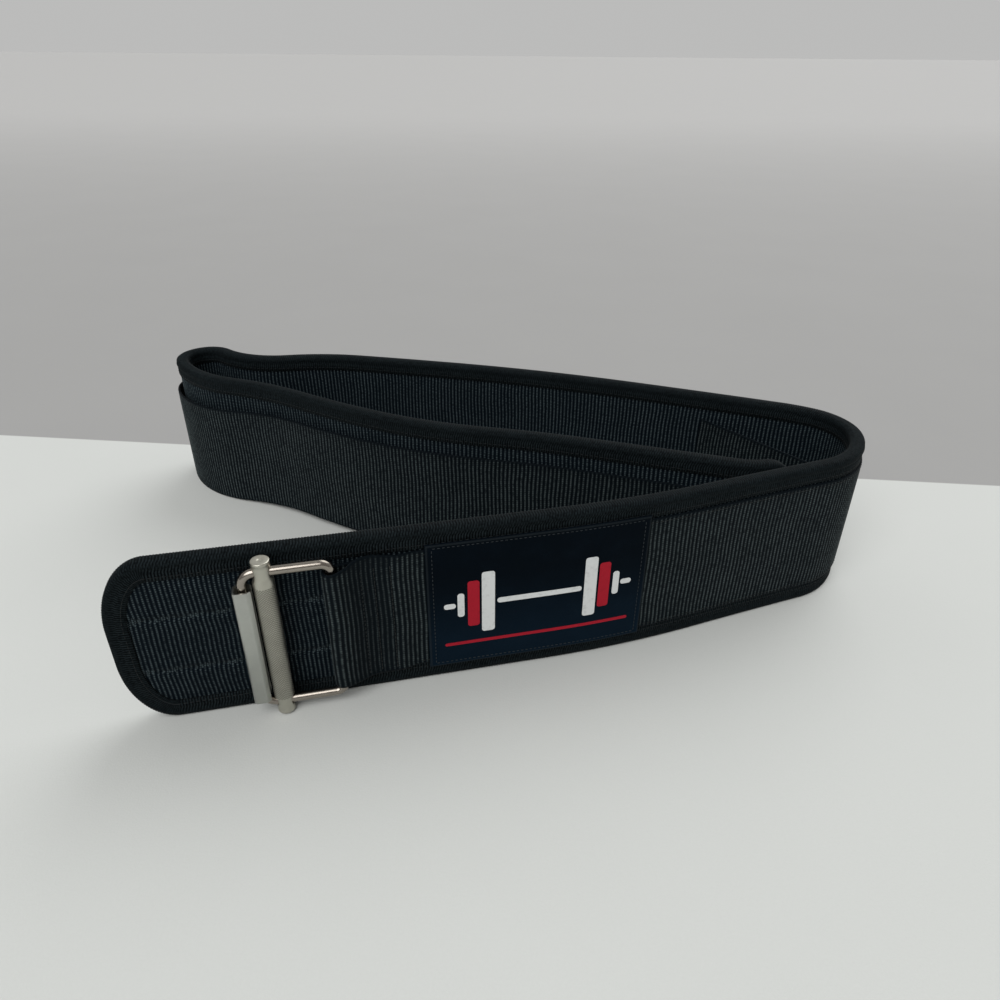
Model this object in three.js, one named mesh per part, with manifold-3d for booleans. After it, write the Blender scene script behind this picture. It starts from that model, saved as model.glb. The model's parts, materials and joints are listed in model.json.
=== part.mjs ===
// Nylon weightlifting belt with a roller buckle, standing on its lower edge in a long loose loop. Units are
// millimetres and +Z is up. The origin is the bottom centre of the whole belt.
//
// The soft pieces are worked out flat and then bent along a plan path of arcs. A flat place has three
// values: the distance along the band from the tip of its flap, the offset outward from the band's middle
// layer, and the height above the lower edge. The flap, the buckle and the patch lie on the front stretch,
// the path turns left round the right bend, comes back along the rear, turns round the left bend and ends
// as the middle stretch, which leans on the inside of the front stretch.
import * as THREE from 'three';
import { mergeVertices } from 'three/addons/utils/BufferGeometryUtils.js';
import Module from 'manifold-3d';

// Band and its binding
const bandLength = 1504;
const bandHeight = 101.6;
const coreThickness = 6.4;
const cornerLength = 25;
const cornerHeight = 40;
const edgeChamfer = 1.5;
const bindingWall = 1.1;
const bindingLeg = 10.5;

// Strap
const strapFromBinding = 1.3;
const strapThickness = 2;
const foldFromWire = 4.1;
const underLayerLength = 32;
const layersMeet = 18;
const layerSoftening = 2.5;
const stepDownLength = 10;
const tailLeaves = 7;
const tailCurlRadius = 17.5;
const tailCurlTurn = 109;
const tailLongest = 100;
const tailRise = 6;

// Patch
const patchLength = 127;
const patchOverhang = 2.8;
const patchThickness = 1.2;
const patchFromBar = 48.5;
const patchRise = 0.9;

// Buckle
const wireDiameter = 5;
const frameLength = 43;
const frameInset = 7.95;
const frameCorner = 7;
const frameStandOff = 7;
const barFromTip = 113;
const rollerOverhang = 6.95;
const rollerFromSleeve = 10.6;
const knurlDiameter = 10.6;
const neckDiameter = 8;
const topNeckLength = 10;
const bottomNeckLength = 5.2;
const headDiameter = 10.4;
const headHeight = 1.6;
const headFlare = 2;
const shoulderLength = 2.4;
const rollerChamfer = 0.5;
const sleeveAcross = 8.9;
const sleeveWall = 0.9;
const sleeveFromTop = 12.05;
const sleeveReach = 0.35;
const sleeveShift = 0.4;

// Clearances
const layerGap = 0.3;
const wireClearance = 0.3;
const foldClearance = 0.5;
const leanGap = 0.5;
const tipGap = 1;

// Smoothness of the bent pieces
const longestStep = 26;
const largestTurn = 7;
const cornerSteps = 7;
const foldSteps = 9;
const wireSides = 12;
const wireCornerSteps = 6;
const rollerSides = 20;
const boreSides = 16;
const mitreLimit = 0.5;

// Where the belt lies: heading of the flap, then the plan path as shares of the band's length, with the
// turn to the left in degrees that each stretch makes. The stretch that leans is the exit of the left bend.
const flapHeading = 13.4;
const path = [
  { share: 231, turn: 0 },
  { share: 100, turn: 8.6 },
  { share: 84, turn: -1 },
  { share: 59, turn: 64 },
  { share: 38, turn: 62 },
  { share: 23, turn: 12.4 },
  { share: 106, turn: 1.4 },
  { share: 138, turn: 7.6 },
  { share: 80, turn: 1.7 },
  { share: 60, turn: 21 },
  { share: 58, turn: -52 },
  { share: 41, turn: 136 },
  { share: 13, turn: 26 },
  { share: 64, turn: 44, leans: true },
  { share: 62, turn: -16 },
  { share: 72, turn: 7 },
  { share: 78, turn: 15 },
  { share: 68, turn: -6.7 },
  { share: 79, turn: 0 },
  { share: 12, turn: 0 },
  { share: 24, turn: 37 },
  { share: 20, turn: 0 },
];

// Stretches of the band, as shares of its length, that another stretch comes close to, how far back from
// its end the middle stretch leans, and how much its lean may be solved by, in degrees.
const frontStretch = { from: 0.2, to: 0.36 };
const rearStretch = { from: 0.33, to: 0.6 };
const leaningShare = 0.08;
const leanRange = 12;
const searchShare = 0.002;

// How the strap rides on the band, as shares of the band's length: outward is 0 where it is sewn to the
// band's face and 1 where it lies over the binding, low is 1 at its sewn height and 0 where it has slipped
// to the floor.
const strapRide = [
  { at: 0.4, outward: 0, low: 1 },
  { at: 0.43, outward: 1, low: 1 },
  { at: 0.6, outward: 1, low: 0 },
  { at: 0.66, outward: 1, low: 0 },
  { at: 0.7, outward: 2, low: 0 },
  { at: 0.77, outward: 2, low: 0 },
  { at: 0.86, outward: 1, low: 0 },
  { at: 1, outward: 1, low: 0 },
];

// Finishes
const colours = {
  fabric: 0x18201f,
  tape: 0x0f1516,
  webbing: 0x171c1e,
  leather: 0x070f15,
  nickel: 0xb9b6ac,
  satin: 0x9b9a92,
};

const radians = THREE.MathUtils.degToRad;
const degrees = THREE.MathUtils.radToDeg;
const coreHalf = coreThickness / 2;
const bandHalf = coreHalf + layerGap + bindingWall;
const sewnOffset = coreHalf + layerGap + strapThickness / 2;
const overOffset = bandHalf + layerGap + strapThickness / 2;
const buckleOffset = bandHalf + frameStandOff;
const middleHeight = bandHeight / 2;
const strapWidth = bandHeight - 2 * (bindingLeg + strapFromBinding);
const patchHeight = strapWidth + 2 * patchOverhang;
const frameHeight = bandHeight - 2 * frameInset;
const foldWidth = frameHeight - wireDiameter - 2 * foldFromWire;

// Plan path

class PlanPath {
  constructor(start, heading, length, rows) {
    const total = rows.reduce((sum, row) => sum + row.share, 0);
    this.pieces = [];
    let at = 0;
    let point = start.clone();
    let facing = heading;
    for (const row of rows) {
      const piece = { at, length: (row.share / total) * length, turn: radians(row.turn), point, facing };
      this.pieces.push(piece);
      ({ point, facing } = PlanPath.along(piece, piece.length));
      at += piece.length;
    }
    this.length = length;
  }

  static along(piece, distance) {
    const turned = (piece.turn * distance) / piece.length;
    const facing = piece.facing + turned;
    if (Math.abs(piece.turn) < 1e-6) {
      const step = new THREE.Vector2(Math.cos(facing), Math.sin(facing)).multiplyScalar(distance);
      return { point: piece.point.clone().add(step), facing };
    }
    const radius = piece.length / piece.turn;
    const across = Math.sin(facing) - Math.sin(piece.facing);
    const up = Math.cos(piece.facing) - Math.cos(facing);
    const point = new THREE.Vector2(piece.point.x + radius * across, piece.point.y + radius * up);
    return { point, facing };
  }

  at(distance) {
    const piece = this.pieces.findLast((one) => one.at <= distance) ?? this.pieces[0];
    return PlanPath.along(piece, distance - piece.at);
  }

  // Plan point at a distance along the path and an offset to its right, which is the belt's outer side.
  plan(distance, outward) {
    const { point, facing } = this.at(distance);
    return new THREE.Vector2(point.x + outward * Math.sin(facing), point.y - outward * Math.cos(facing));
  }

  // Distances that follow the path closely enough, from one distance to another.
  stations(from, to) {
    const list = [from];
    for (const piece of this.pieces) {
      const steps = Math.max(
        Math.ceil(piece.length / longestStep),
        Math.ceil(degrees(Math.abs(piece.turn)) / largestTurn),
      );
      for (let step = 0; step < steps; step += 1) {
        const distance = piece.at + (piece.length * step) / steps;
        if (distance > from + 1 && distance < to - 1) list.push(distance);
      }
    }
    list.push(to);
    return list;
  }
}

// Points of the middle layer along a stretch.
function middlePoints(route, { from, to }) {
  const points = [];
  for (let share = from; share < to; share += searchShare) points.push(route.at(share * bandLength).point);
  return points;
}

// Nearest the end of the middle stretch comes to the front stretch, measured between their middle layers.
function endClearance(candidate) {
  const front = middlePoints(candidate, frontStretch);
  const leaning = middlePoints(candidate, { from: 1 - leaningShare, to: 1 });
  return Math.min(...leaning.map((point) => Math.min(...front.map((other) => point.distanceTo(other)))));
}

// The exit of the left bend is opened or closed a little until the middle stretch, with the strap on it,
// just clears the front stretch that it leans on.
function leaningPath() {
  const wanted = bandHalf + overOffset + strapThickness / 2 + leanGap;
  const bent = (lean) => {
    const rows = path.map((row) => (row.leans ? { ...row, turn: row.turn + lean } : row));
    return new PlanPath(new THREE.Vector2(0, 0), radians(flapHeading), bandLength, rows);
  };
  let low = -leanRange;
  let high = leanRange;
  while (high - low > leanRange * 1e-6) {
    const middle = (low + high) / 2;
    if (endClearance(bent(middle)) > wanted) high = middle;
    else low = middle;
  }
  return bent(high);
}

const band = leaningPath();

function bend(distance, outward, height) {
  const place = band.plan(distance, outward);
  return new THREE.Vector3(place.x, place.y, height);
}

// Meshes from sections

function signedVolume(geometry) {
  const corner = [new THREE.Vector3(), new THREE.Vector3(), new THREE.Vector3()];
  const { index, attributes } = geometry;
  let volume = 0;
  for (let face = 0; face < index.count; face += 3) {
    corner.forEach((vector, k) => vector.fromBufferAttribute(attributes.position, index.getX(face + k)));
    volume += corner[0].dot(corner[1].cross(corner[2])) / 6;
  }
  return volume;
}

// Skins a row of sections with the same number of points. A closed row joins its last section to its first,
// and an open one, whose sections are convex, is capped.
function skin(sections, closed) {
  const count = sections[0].length;
  const positions = sections.flat().flatMap((point) => point.toArray());
  const faces = [];
  const spans = closed ? sections.length : sections.length - 1;
  for (let row = 0; row < spans; row += 1) {
    const here = row * count;
    const next = ((row + 1) % sections.length) * count;
    for (let k = 0; k < count; k += 1) {
      const after = (k + 1) % count;
      faces.push(here + k, here + after, next + after, here + k, next + after, next + k);
    }
  }
  if (!closed) {
    const last = (sections.length - 1) * count;
    for (let k = 1; k < count - 1; k += 1) {
      faces.push(0, k + 1, k, last, last + k, last + k + 1);
    }
  }
  const geometry = new THREE.BufferGeometry();
  geometry.setAttribute('position', new THREE.Float32BufferAttribute(positions, 3));
  geometry.setIndex(faces);
  if (signedVolume(geometry) < 0) geometry.setIndex(faces.reverse());
  return geometry;
}

function piece(name, geometry, colour, roughness, metalness) {
  geometry.computeVertexNormals();
  const material = new THREE.MeshStandardMaterial({ color: colour, roughness, metalness });
  const mesh = new THREE.Mesh(geometry, material);
  mesh.name = name;
  return mesh;
}

// Padded band

// A round corner from the long edge to the end: how far from the end, how much of the height is cut, and
// the direction that points into the band, as along and up.
function roundCorner() {
  return Array.from({ length: cornerSteps }, (_, step) => {
    const angle = ((step + 1) / cornerSteps) * (Math.PI / 2);
    const inward = new THREE.Vector2(Math.sin(angle) / cornerLength, Math.cos(angle) / cornerHeight);
    return {
      fromEnd: cornerLength * (1 - Math.sin(angle)),
      cut: cornerHeight * (1 - Math.cos(angle)),
      inward: inward.normalize(),
    };
  });
}

function paddedBand() {
  const inset = bindingWall + layerGap;
  const middle = band.stations(cornerLength, bandLength - cornerLength);
  const long = middle.map((distance) => ({ distance, cut: inset }));
  const corner = roundCorner().map(({ fromEnd, cut, inward }) => (
    { fromEnd: fromEnd + inset * inward.x, cut: cut + inset * inward.y }));
  const atTip = corner.map(({ fromEnd, cut }) => ({ distance: fromEnd, cut })).reverse();
  const atEnd = corner.map(({ fromEnd, cut }) => ({ distance: bandLength - fromEnd, cut }));
  const flat = coreHalf - edgeChamfer;
  const sections = [...atTip, ...long, ...atEnd].map(({ distance, cut }) => {
    const top = bandHeight - cut;
    return [
      bend(distance, -coreHalf, cut + edgeChamfer),
      bend(distance, -flat, cut),
      bend(distance, flat, cut),
      bend(distance, coreHalf, cut + edgeChamfer),
      bend(distance, coreHalf, top - edgeChamfer),
      bend(distance, flat, top),
      bend(distance, -flat, top),
      bend(distance, -coreHalf, top - edgeChamfer),
    ];
  });
  return piece('padded_band', skin(sections, false), colours.fabric, 0.85, 0);
}

// Edge binding

// The band's outline, flat, as points with the direction that points into the band.
function bandOutline() {
  const bottom = band.stations(cornerLength, bandLength - cornerLength);
  const outline = bottom.map((distance) => ({ distance, height: 0, inward: new THREE.Vector2(0, 1) }));
  const quarter = (towardEnd, fromBottom) => roundCorner().map(({ fromEnd, cut, inward }) => ({
    distance: towardEnd ? bandLength - fromEnd : fromEnd,
    height: fromBottom ? cut : bandHeight - cut,
    inward: new THREE.Vector2(towardEnd ? -inward.x : inward.x, fromBottom ? inward.y : -inward.y),
  }));
  const top = [...bottom].reverse();
  return [
    ...outline,
    ...quarter(true, true),
    ...quarter(true, false).reverse(),
    ...top.map((distance) => ({ distance, height: bandHeight, inward: new THREE.Vector2(0, -1) })),
    ...quarter(false, false),
    ...quarter(false, true).reverse(),
  ];
}

function edgeBinding() {
  const inner = bandHalf - bindingWall;
  const flat = bandHalf - edgeChamfer;
  const profile = [
    { depth: bindingLeg, outward: bandHalf },
    { depth: edgeChamfer, outward: bandHalf },
    { depth: 0, outward: flat },
    { depth: 0, outward: -flat },
    { depth: edgeChamfer, outward: -bandHalf },
    { depth: bindingLeg, outward: -bandHalf },
    { depth: bindingLeg, outward: -inner },
    { depth: bindingWall, outward: -inner },
    { depth: bindingWall, outward: inner },
    { depth: bindingLeg, outward: inner },
  ];
  const sections = bandOutline().map(({ distance, height, inward }) =>
    profile.map(({ depth, outward }) =>
      bend(distance + depth * inward.x, outward, height + depth * inward.y)));
  return piece('edge_binding', skin(sections, true), colours.tape, 0.8, 0);
}

// Strap

// The strap's fold round the rear bar, seen from above in flat values: two straight layers that meet on the
// band and touch the round of the fold.
function foldOutline() {
  const radius = wireDiameter / 2 + foldClearance + strapThickness / 2;
  const centre = new THREE.Vector2(barFromTip, buckleOffset);
  const upperOffset = sewnOffset + strapThickness + layerGap;
  const meets = barFromTip + layersMeet;
  const tangent = (outward, side) => {
    const junction = new THREE.Vector2(meets, outward);
    const toCentre = centre.clone().sub(junction);
    const spread = Math.asin(radius / toCentre.length());
    const heading = toCentre.angle() - side * spread;
    const reach = Math.sqrt(toCentre.lengthSq() - radius * radius);
    const direction = new THREE.Vector2(Math.cos(heading), Math.sin(heading));
    const touch = direction.clone().multiplyScalar(reach).add(junction);
    return { touch, near: direction.multiplyScalar(layerSoftening).add(junction) };
  };
  const under = tangent(sewnOffset, -1);
  const upper = tangent(upperOffset, 1);
  const from = under.touch.clone().sub(centre).angle();
  const to = upper.touch.clone().sub(centre).angle();
  const round = [];
  for (let step = 1; step < foldSteps; step += 1) {
    const angle = THREE.MathUtils.lerp(from, to, step / foldSteps);
    round.push(new THREE.Vector2(Math.cos(angle), Math.sin(angle)).multiplyScalar(radius).add(centre));
  }
  const ends = barFromTip + underLayerLength;
  return [
    new THREE.Vector2(ends, sewnOffset),
    new THREE.Vector2(meets + layerSoftening, sewnOffset),
    under.near,
    under.touch,
    ...round,
    upper.touch,
    upper.near,
    new THREE.Vector2(meets + layerSoftening, upperOffset),
    new THREE.Vector2(ends + strapThickness, upperOffset),
    new THREE.Vector2(ends + stepDownLength, sewnOffset),
  ];
}

function strapRides(share) {
  const next = strapRide.findIndex((row) => row.at > share);
  if (next <= 0) return strapRide.at(next);
  const before = strapRide[next - 1];
  const after = strapRide[next];
  const blend = THREE.MathUtils.smoothstep(share, before.at, after.at);
  return {
    outward: THREE.MathUtils.lerp(before.outward, after.outward, blend),
    low: THREE.MathUtils.lerp(before.low, after.low, blend),
  };
}

// The free tail beyond the end of the band curls round inside the right bend and runs back until its tip is
// just clear of the rear stretch.
function freeTail(start, facing) {
  const curl = tailCurlRadius * radians(tailCurlTurn);
  const rows = [
    { share: tailLeaves, turn: 0 },
    { share: curl, turn: tailCurlTurn },
    { share: tailLongest, turn: 0 },
  ];
  const curlEnd = tailLeaves + curl;
  const whole = new PlanPath(start, facing, curlEnd + tailLongest, rows);
  const wanted = bandHalf + strapThickness / 2 + tipGap;
  const rear = middlePoints(band, rearStretch);
  const clear = (distance) => rear.every((point) => whole.at(distance).point.distanceTo(point) > wanted);
  let length = curlEnd;
  while (length < whole.length && clear(length)) length += strapThickness / 4;
  whole.length = length;
  whole.curlEnd = curlEnd;
  return whole;
}

// The strap's middle layer in plan, with the heights of its two edges.
function strapRoute() {
  const sewnLow = (bandHeight - strapWidth) / 2;
  const foldLow = (bandHeight - foldWidth) / 2;
  const fold = foldOutline().map((place) => {
    const low = place.x < barFromTip + underLayerLength ? foldLow : sewnLow;
    return { point: band.plan(place.x, place.y), low, high: bandHeight - low };
  });
  const sewnFrom = barFromTip + underLayerLength + stepDownLength;
  const laid = band.stations(sewnFrom, bandLength).slice(1).map((distance) => {
    const ride = strapRides(distance / bandLength);
    const over = THREE.MathUtils.lerp(sewnOffset, overOffset, Math.min(ride.outward, 1));
    const outward = over + Math.max(ride.outward - 1, 0) * strapThickness;
    const low = ride.low * sewnLow;
    return { point: band.plan(distance, outward), low, high: low + strapWidth };
  });
  const tail = freeTail(laid.at(-1).point, band.at(bandLength).facing);
  const free = tail.stations(0, tail.length).slice(1).map((distance) => {
    const low = tailRise * THREE.MathUtils.smoothstep(distance, 0, tail.curlEnd);
    return { point: tail.at(distance).point, low, high: low + strapWidth };
  });
  return [...fold, ...laid, ...free];
}

function strap() {
  const route = strapRoute();
  const sections = route.map((here, k) => {
    const before = route[Math.max(k - 1, 0)].point;
    const after = route[Math.min(k + 1, route.length - 1)].point;
    const toward = here.point.clone().sub(before).normalize();
    const onward = after.clone().sub(here.point).normalize();
    const direction = toward.clone().add(onward).normalize();
    const square = Math.max(direction.dot(k === 0 ? onward : toward), mitreLimit);
    const across = new THREE.Vector2(direction.y, -direction.x).multiplyScalar(strapThickness / 2 / square);
    const outer = here.point.clone().add(across);
    const inner = here.point.clone().sub(across);
    return [
      new THREE.Vector3(outer.x, outer.y, here.low),
      new THREE.Vector3(outer.x, outer.y, here.high),
      new THREE.Vector3(inner.x, inner.y, here.high),
      new THREE.Vector3(inner.x, inner.y, here.low),
    ];
  });
  return piece('strap', skin(sections, false), colours.webbing, 0.8, 0);
}

// Patch

function patch() {
  const from = barFromTip + patchFromBar;
  const inner = sewnOffset + strapThickness / 2 + layerGap;
  const outer = inner + patchThickness;
  const low = (bandHeight - patchHeight) / 2 + patchRise;
  const high = low + patchHeight;
  const sections = band.stations(from, from + patchLength).map((distance) => [
    bend(distance, outer, low),
    bend(distance, outer, high),
    bend(distance, inner, high),
    bend(distance, inner, low),
  ]);
  return piece('patch', skin(sections, false), colours.leather, 0.55, 0);
}

// Buckle, in the flap's own frame: x runs along the flap, y inward and z up.

function buckleFrame() {
  const half = { x: frameLength / 2 - frameCorner, z: frameHeight / 2 - frameCorner };
  const corners = [
    { x: half.x, z: half.z, from: 0 },
    { x: -half.x, z: half.z, from: 90 },
    { x: -half.x, z: -half.z, from: 180 },
    { x: half.x, z: -half.z, from: 270 },
  ];
  const sections = corners.flatMap(({ x, z, from }) =>
    Array.from({ length: wireCornerSteps + 1 }, (_, step) => {
      const angle = radians(from + (90 * step) / wireCornerSteps);
      return Array.from({ length: wireSides }, (_, side) => {
        const turned = (side / wireSides) * 2 * Math.PI;
        const reach = frameCorner + (wireDiameter / 2) * Math.cos(turned);
        const y = (wireDiameter / 2) * Math.sin(turned);
        return new THREE.Vector3(x + reach * Math.cos(angle), y, z + reach * Math.sin(angle));
      });
    }));
  return piece('buckle_frame', skin(sections, true), colours.nickel, 0.22, 1);
}

function solidOf(wasm, geometry) {
  const bare = geometry.clone();
  bare.deleteAttribute('normal');
  bare.deleteAttribute('uv');
  const merged = mergeVertices(bare, 1e-4);
  return new wasm.Manifold(new wasm.Mesh({
    numProp: 3,
    vertProperties: new Float32Array(merged.attributes.position.array),
    triVerts: new Uint32Array(merged.index.array),
  }));
}

function geometryOf(solid) {
  const mesh = solid.getMesh();
  const geometry = new THREE.BufferGeometry();
  geometry.setAttribute('position', new THREE.BufferAttribute(new Float32Array(mesh.vertProperties), 3));
  geometry.setIndex(new THREE.BufferAttribute(new Uint32Array(mesh.triVerts), 1));
  return geometry;
}

// The roller is turned about its own axis and drilled across for the two side wires.
function rollerBar(wasm) {
  const end = frameHeight / 2 + rollerOverhang;
  const headFrom = end - headHeight;
  const neckFrom = headFrom - headFlare;
  const topShoulder = neckFrom - topNeckLength;
  const bottomShoulder = -neckFrom + bottomNeckLength;
  const head = headDiameter / 2;
  const neck = neckDiameter / 2;
  const knurl = knurlDiameter / 2;
  const profile = [
    [0, -end],
    [head - rollerChamfer, -end],
    [head, -end + rollerChamfer],
    [head, -headFrom],
    [neck, -neckFrom],
    [neck, bottomShoulder],
    [knurl, bottomShoulder + shoulderLength],
    [knurl, topShoulder - shoulderLength],
    [neck, topShoulder],
    [neck, neckFrom],
    [head, headFrom],
    [head, end - rollerChamfer],
    [head - rollerChamfer, end],
    [0, end],
  ].map(([radius, along]) => new THREE.Vector2(radius, along));
  let solid = solidOf(wasm, new THREE.LatheGeometry(profile, rollerSides));
  const boreRadius = wireDiameter / 2 + wireClearance;
  for (const side of [-1, 1]) {
    const bore = new THREE.CylinderGeometry(boreRadius, boreRadius, 2 * headDiameter, boreSides);
    bore.rotateZ(Math.PI / 2);
    bore.translate(0, (side * frameHeight) / 2, 0);
    solid = solid.subtract(solidOf(wasm, bore));
  }
  const geometry = geometryOf(solid);
  geometry.rotateX(Math.PI / 2);
  return piece('roller_bar', geometry, colours.satin, 0.38, 1);
}

// The sleeve is sheet bent round the front bar to a flat-sided section, open toward the roller by the width
// of the wire, so that the lower bend of the wire leaves through the slot.
function buckleSleeve() {
  const slot = wireDiameter / 2 + wireClearance;
  const eighth = Math.tan(Math.PI / 8);
  const upperHalf = (reach) => [
    [reach, slot],
    [reach * eighth, reach],
    [-reach * eighth, reach],
    [-reach, reach * eighth],
  ];
  const mirrored = (points) => points.map(([x, y]) => [x, -y]).reverse();
  const outside = upperHalf(sleeveAcross / 2);
  const inside = upperHalf(sleeveAcross / 2 - sleeveWall);
  const outline = [...outside, ...mirrored(outside), ...[...inside, ...mirrored(inside)].reverse()];
  const shape = new THREE.Shape(outline.map(([x, y]) => new THREE.Vector2(x, y)));
  const depth = frameHeight - sleeveFromTop + sleeveReach;
  const geometry = new THREE.ExtrudeGeometry(shape, { depth, bevelEnabled: false });
  return piece('buckle_sleeve', geometry, colours.satin, 0.42, 1);
}

function buckle(wasm) {
  const group = new THREE.Group();
  const flap = band.at(0);
  group.position.set(flap.point.x, flap.point.y, middleHeight);
  group.rotation.z = flap.facing;

  const frame = buckleFrame();
  frame.position.set(barFromTip - frameLength / 2, -buckleOffset, 0);

  const roller = rollerBar(wasm);
  roller.position.set(barFromTip - frameLength + rollerFromSleeve, -buckleOffset, 0);

  const sleeve = buckleSleeve();
  const sleeveFoot = -frameHeight / 2 - sleeveReach;
  sleeve.position.set(barFromTip - frameLength - sleeveShift, -buckleOffset, sleeveFoot);

  group.add(frame, roller, sleeve);
  return group;
}

// The whole belt

function centredOnFloor(content) {
  const belt = new THREE.Group();
  belt.add(content);
  belt.updateMatrixWorld(true);
  const box = new THREE.Box3().setFromObject(belt, true);
  const centre = box.getCenter(new THREE.Vector3());
  content.position.set(-centre.x, -centre.y, -box.min.z);
  return belt;
}

const wasm = await Module();
wasm.setup();

const content = new THREE.Group();
content.add(paddedBand(), edgeBinding(), strap(), patch(), buckle(wasm));

export default centredOnFloor(content);
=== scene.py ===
"""Looks of a nylon weightlifting belt with a roller buckle, standing on its lower edge in a long loose loop.

All sizes are in metres. The soft pieces are worked out flat and then bent along the belt's plan path. A flat
place has three values: the distance along the band from the tip of its flap, the offset outward from the
band's middle layer, and the height above the lower edge.
"""

import json
import math

import bpy
import numpy as np
from bpy.props import FloatProperty, FloatVectorProperty, PointerProperty
from mathutils import Matrix, Vector


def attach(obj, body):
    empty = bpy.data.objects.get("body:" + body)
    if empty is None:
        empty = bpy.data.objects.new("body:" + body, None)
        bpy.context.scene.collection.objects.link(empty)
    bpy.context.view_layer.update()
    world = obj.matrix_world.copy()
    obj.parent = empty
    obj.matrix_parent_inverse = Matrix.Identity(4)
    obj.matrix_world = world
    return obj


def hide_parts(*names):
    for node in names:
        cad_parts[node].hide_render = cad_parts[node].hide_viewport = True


bl_info = {
    "name": "Lifting Belt",
    "version": (1, 0, 0),
    "blender": (4, 5, 0),
    "location": "View3D > Sidebar > Lifting Belt",
    "description": "Dresses the frame of a weightlifting belt in ribbed fabric, webbing, tape and nickel",
    "category": "Object",
}

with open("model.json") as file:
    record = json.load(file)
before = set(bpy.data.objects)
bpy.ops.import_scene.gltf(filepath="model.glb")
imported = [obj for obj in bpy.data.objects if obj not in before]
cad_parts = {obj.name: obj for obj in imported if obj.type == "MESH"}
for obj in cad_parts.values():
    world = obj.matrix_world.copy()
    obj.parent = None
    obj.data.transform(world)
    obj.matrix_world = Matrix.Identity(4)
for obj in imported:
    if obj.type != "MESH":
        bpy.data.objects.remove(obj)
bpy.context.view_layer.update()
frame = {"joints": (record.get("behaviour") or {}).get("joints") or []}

MM = 0.001

# Band and its binding
BAND_LENGTH = 1504 * MM
BAND_HEIGHT = 101.6 * MM
CORE_HALF = 3.2 * MM
CORNER_LENGTH = 25 * MM
CORNER_HEIGHT = 40 * MM
BINDING_WALL = 1.1 * MM
BINDING_LEG = 10.5 * MM
LAYER_GAP = 0.3 * MM
BAND_HALF = CORE_HALF + LAYER_GAP + BINDING_WALL

# Strap
STRAP_THICKNESS = 2 * MM
STRAP_WIDTH = BAND_HEIGHT - 2 * (BINDING_LEG + 1.3 * MM)
FOLD_WIDTH = 76.2 * MM
UNDER_LAYER = 32 * MM
LAYERS_MEET = 18 * MM
LAYER_SOFTENING = 2.5 * MM
STEP_DOWN = 10 * MM
SEWN_OFFSET = CORE_HALF + LAYER_GAP + STRAP_THICKNESS / 2
OVER_OFFSET = BAND_HALF + LAYER_GAP + STRAP_THICKNESS / 2
TAIL_LEAVES = 7 * MM
TAIL_CURL_RADIUS = 17.5 * MM
TAIL_CURL_TURN = 109
TAIL_LONGEST = 100 * MM
TAIL_RISE = 6 * MM
TIP_GAP = 1 * MM
LEAN_GAP = 0.5 * MM

# Buckle
WIRE_DIAMETER = 5 * MM
BUCKLE_OFFSET = BAND_HALF + 7 * MM
BAR_FROM_TIP = 113 * MM
FOLD_CLEARANCE = 0.5 * MM

# Where the belt lies: the heading of the flap, then the plan path as shares of the band's length, each with
# the turn to the left in degrees that it makes. The row that leans is the exit of the left bend.
FLAP_HEADING = 13.4
PATH = (
    (231, 0), (100, 8.6), (84, -1), (59, 64), (38, 62), (23, 12.4), (106, 1.4), (138, 7.6), (80, 1.7),
    (60, 21), (58, -52), (41, 136), (13, 26), (64, 44), (62, -16), (72, 7), (78, 15), (68, -6.7), (79, 0),
    (12, 0), (24, 37), (20, 0),
)
LEANING_ROW = 13
LEAN_RANGE = 12
FRONT_STRETCH = (0.2, 0.36)
REAR_STRETCH = (0.33, 0.6)
LEANING_STRETCH = (0.92, 1.0)
SEARCH_SHARE = 0.002

# How the strap rides on the band, as shares of the band's length: outward is 0 where it is sewn to the band's
# face and 1 where it lies over the binding, low is 1 at its sewn height and 0 where it has slipped down.
RIDE_AT = (0.4, 0.43, 0.6, 0.66, 0.7, 0.77, 0.86, 0.94, 1.0)
RIDE_OUTWARD = (0, 1, 1, 1, 2, 2, 1, 1, 1)
RIDE_LOW = (1, 1, 0, 0, 0, 0.38, 0.38, 0.38, 0)


class PlanPath:
    """A chain of straight and round stretches in plan, walked by the distance along it."""

    def __init__(self, start, heading, length, rows):
        shares = np.array([row[0] for row in rows], float)
        self.length = length
        self.lengths = shares / shares.sum() * length
        self.turns = np.radians([row[1] for row in rows])
        self.starts = np.concatenate([[0], np.cumsum(self.lengths)[:-1]])
        self.headings = heading + np.concatenate([[0], np.cumsum(self.turns)[:-1]])
        steps = self.chords(self.headings, self.turns, self.lengths)
        self.points = np.array(start) + np.vstack([np.zeros(2), np.cumsum(steps, axis=0)[:-1]])

    @staticmethod
    def chords(heading, turned, along):
        """The straight step from the start of an arc to a place along it."""
        reach = along * np.sinc(turned / 2 / np.pi)
        return np.stack([reach * np.cos(heading + turned / 2), reach * np.sin(heading + turned / 2)], axis=-1)

    def at(self, distance):
        """Plan points and headings at distances along the path."""
        distance = np.asarray(distance, float)
        row = np.clip(np.searchsorted(self.starts, distance, side="right") - 1, 0, len(self.starts) - 1)
        along = distance - self.starts[row]
        turned = self.turns[row] * along / self.lengths[row]
        return self.points[row] + self.chords(self.headings[row], turned, along), self.headings[row] + turned

    def plan(self, distance, outward):
        """Plan points at an offset to the right of the path, which is the belt's outer side."""
        point, facing = self.at(distance)
        outward = np.asarray(outward, float)[..., None]
        return point + outward * np.stack([np.sin(facing), -np.cos(facing)], axis=-1)


def smoothstep(value, low, high):
    share = np.clip((value - low) / (high - low), 0, 1)
    return share * share * (3 - 2 * share)


def middle_points(route, stretch):
    return route.at(np.arange(*stretch, SEARCH_SHARE) * BAND_LENGTH)[0]


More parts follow.
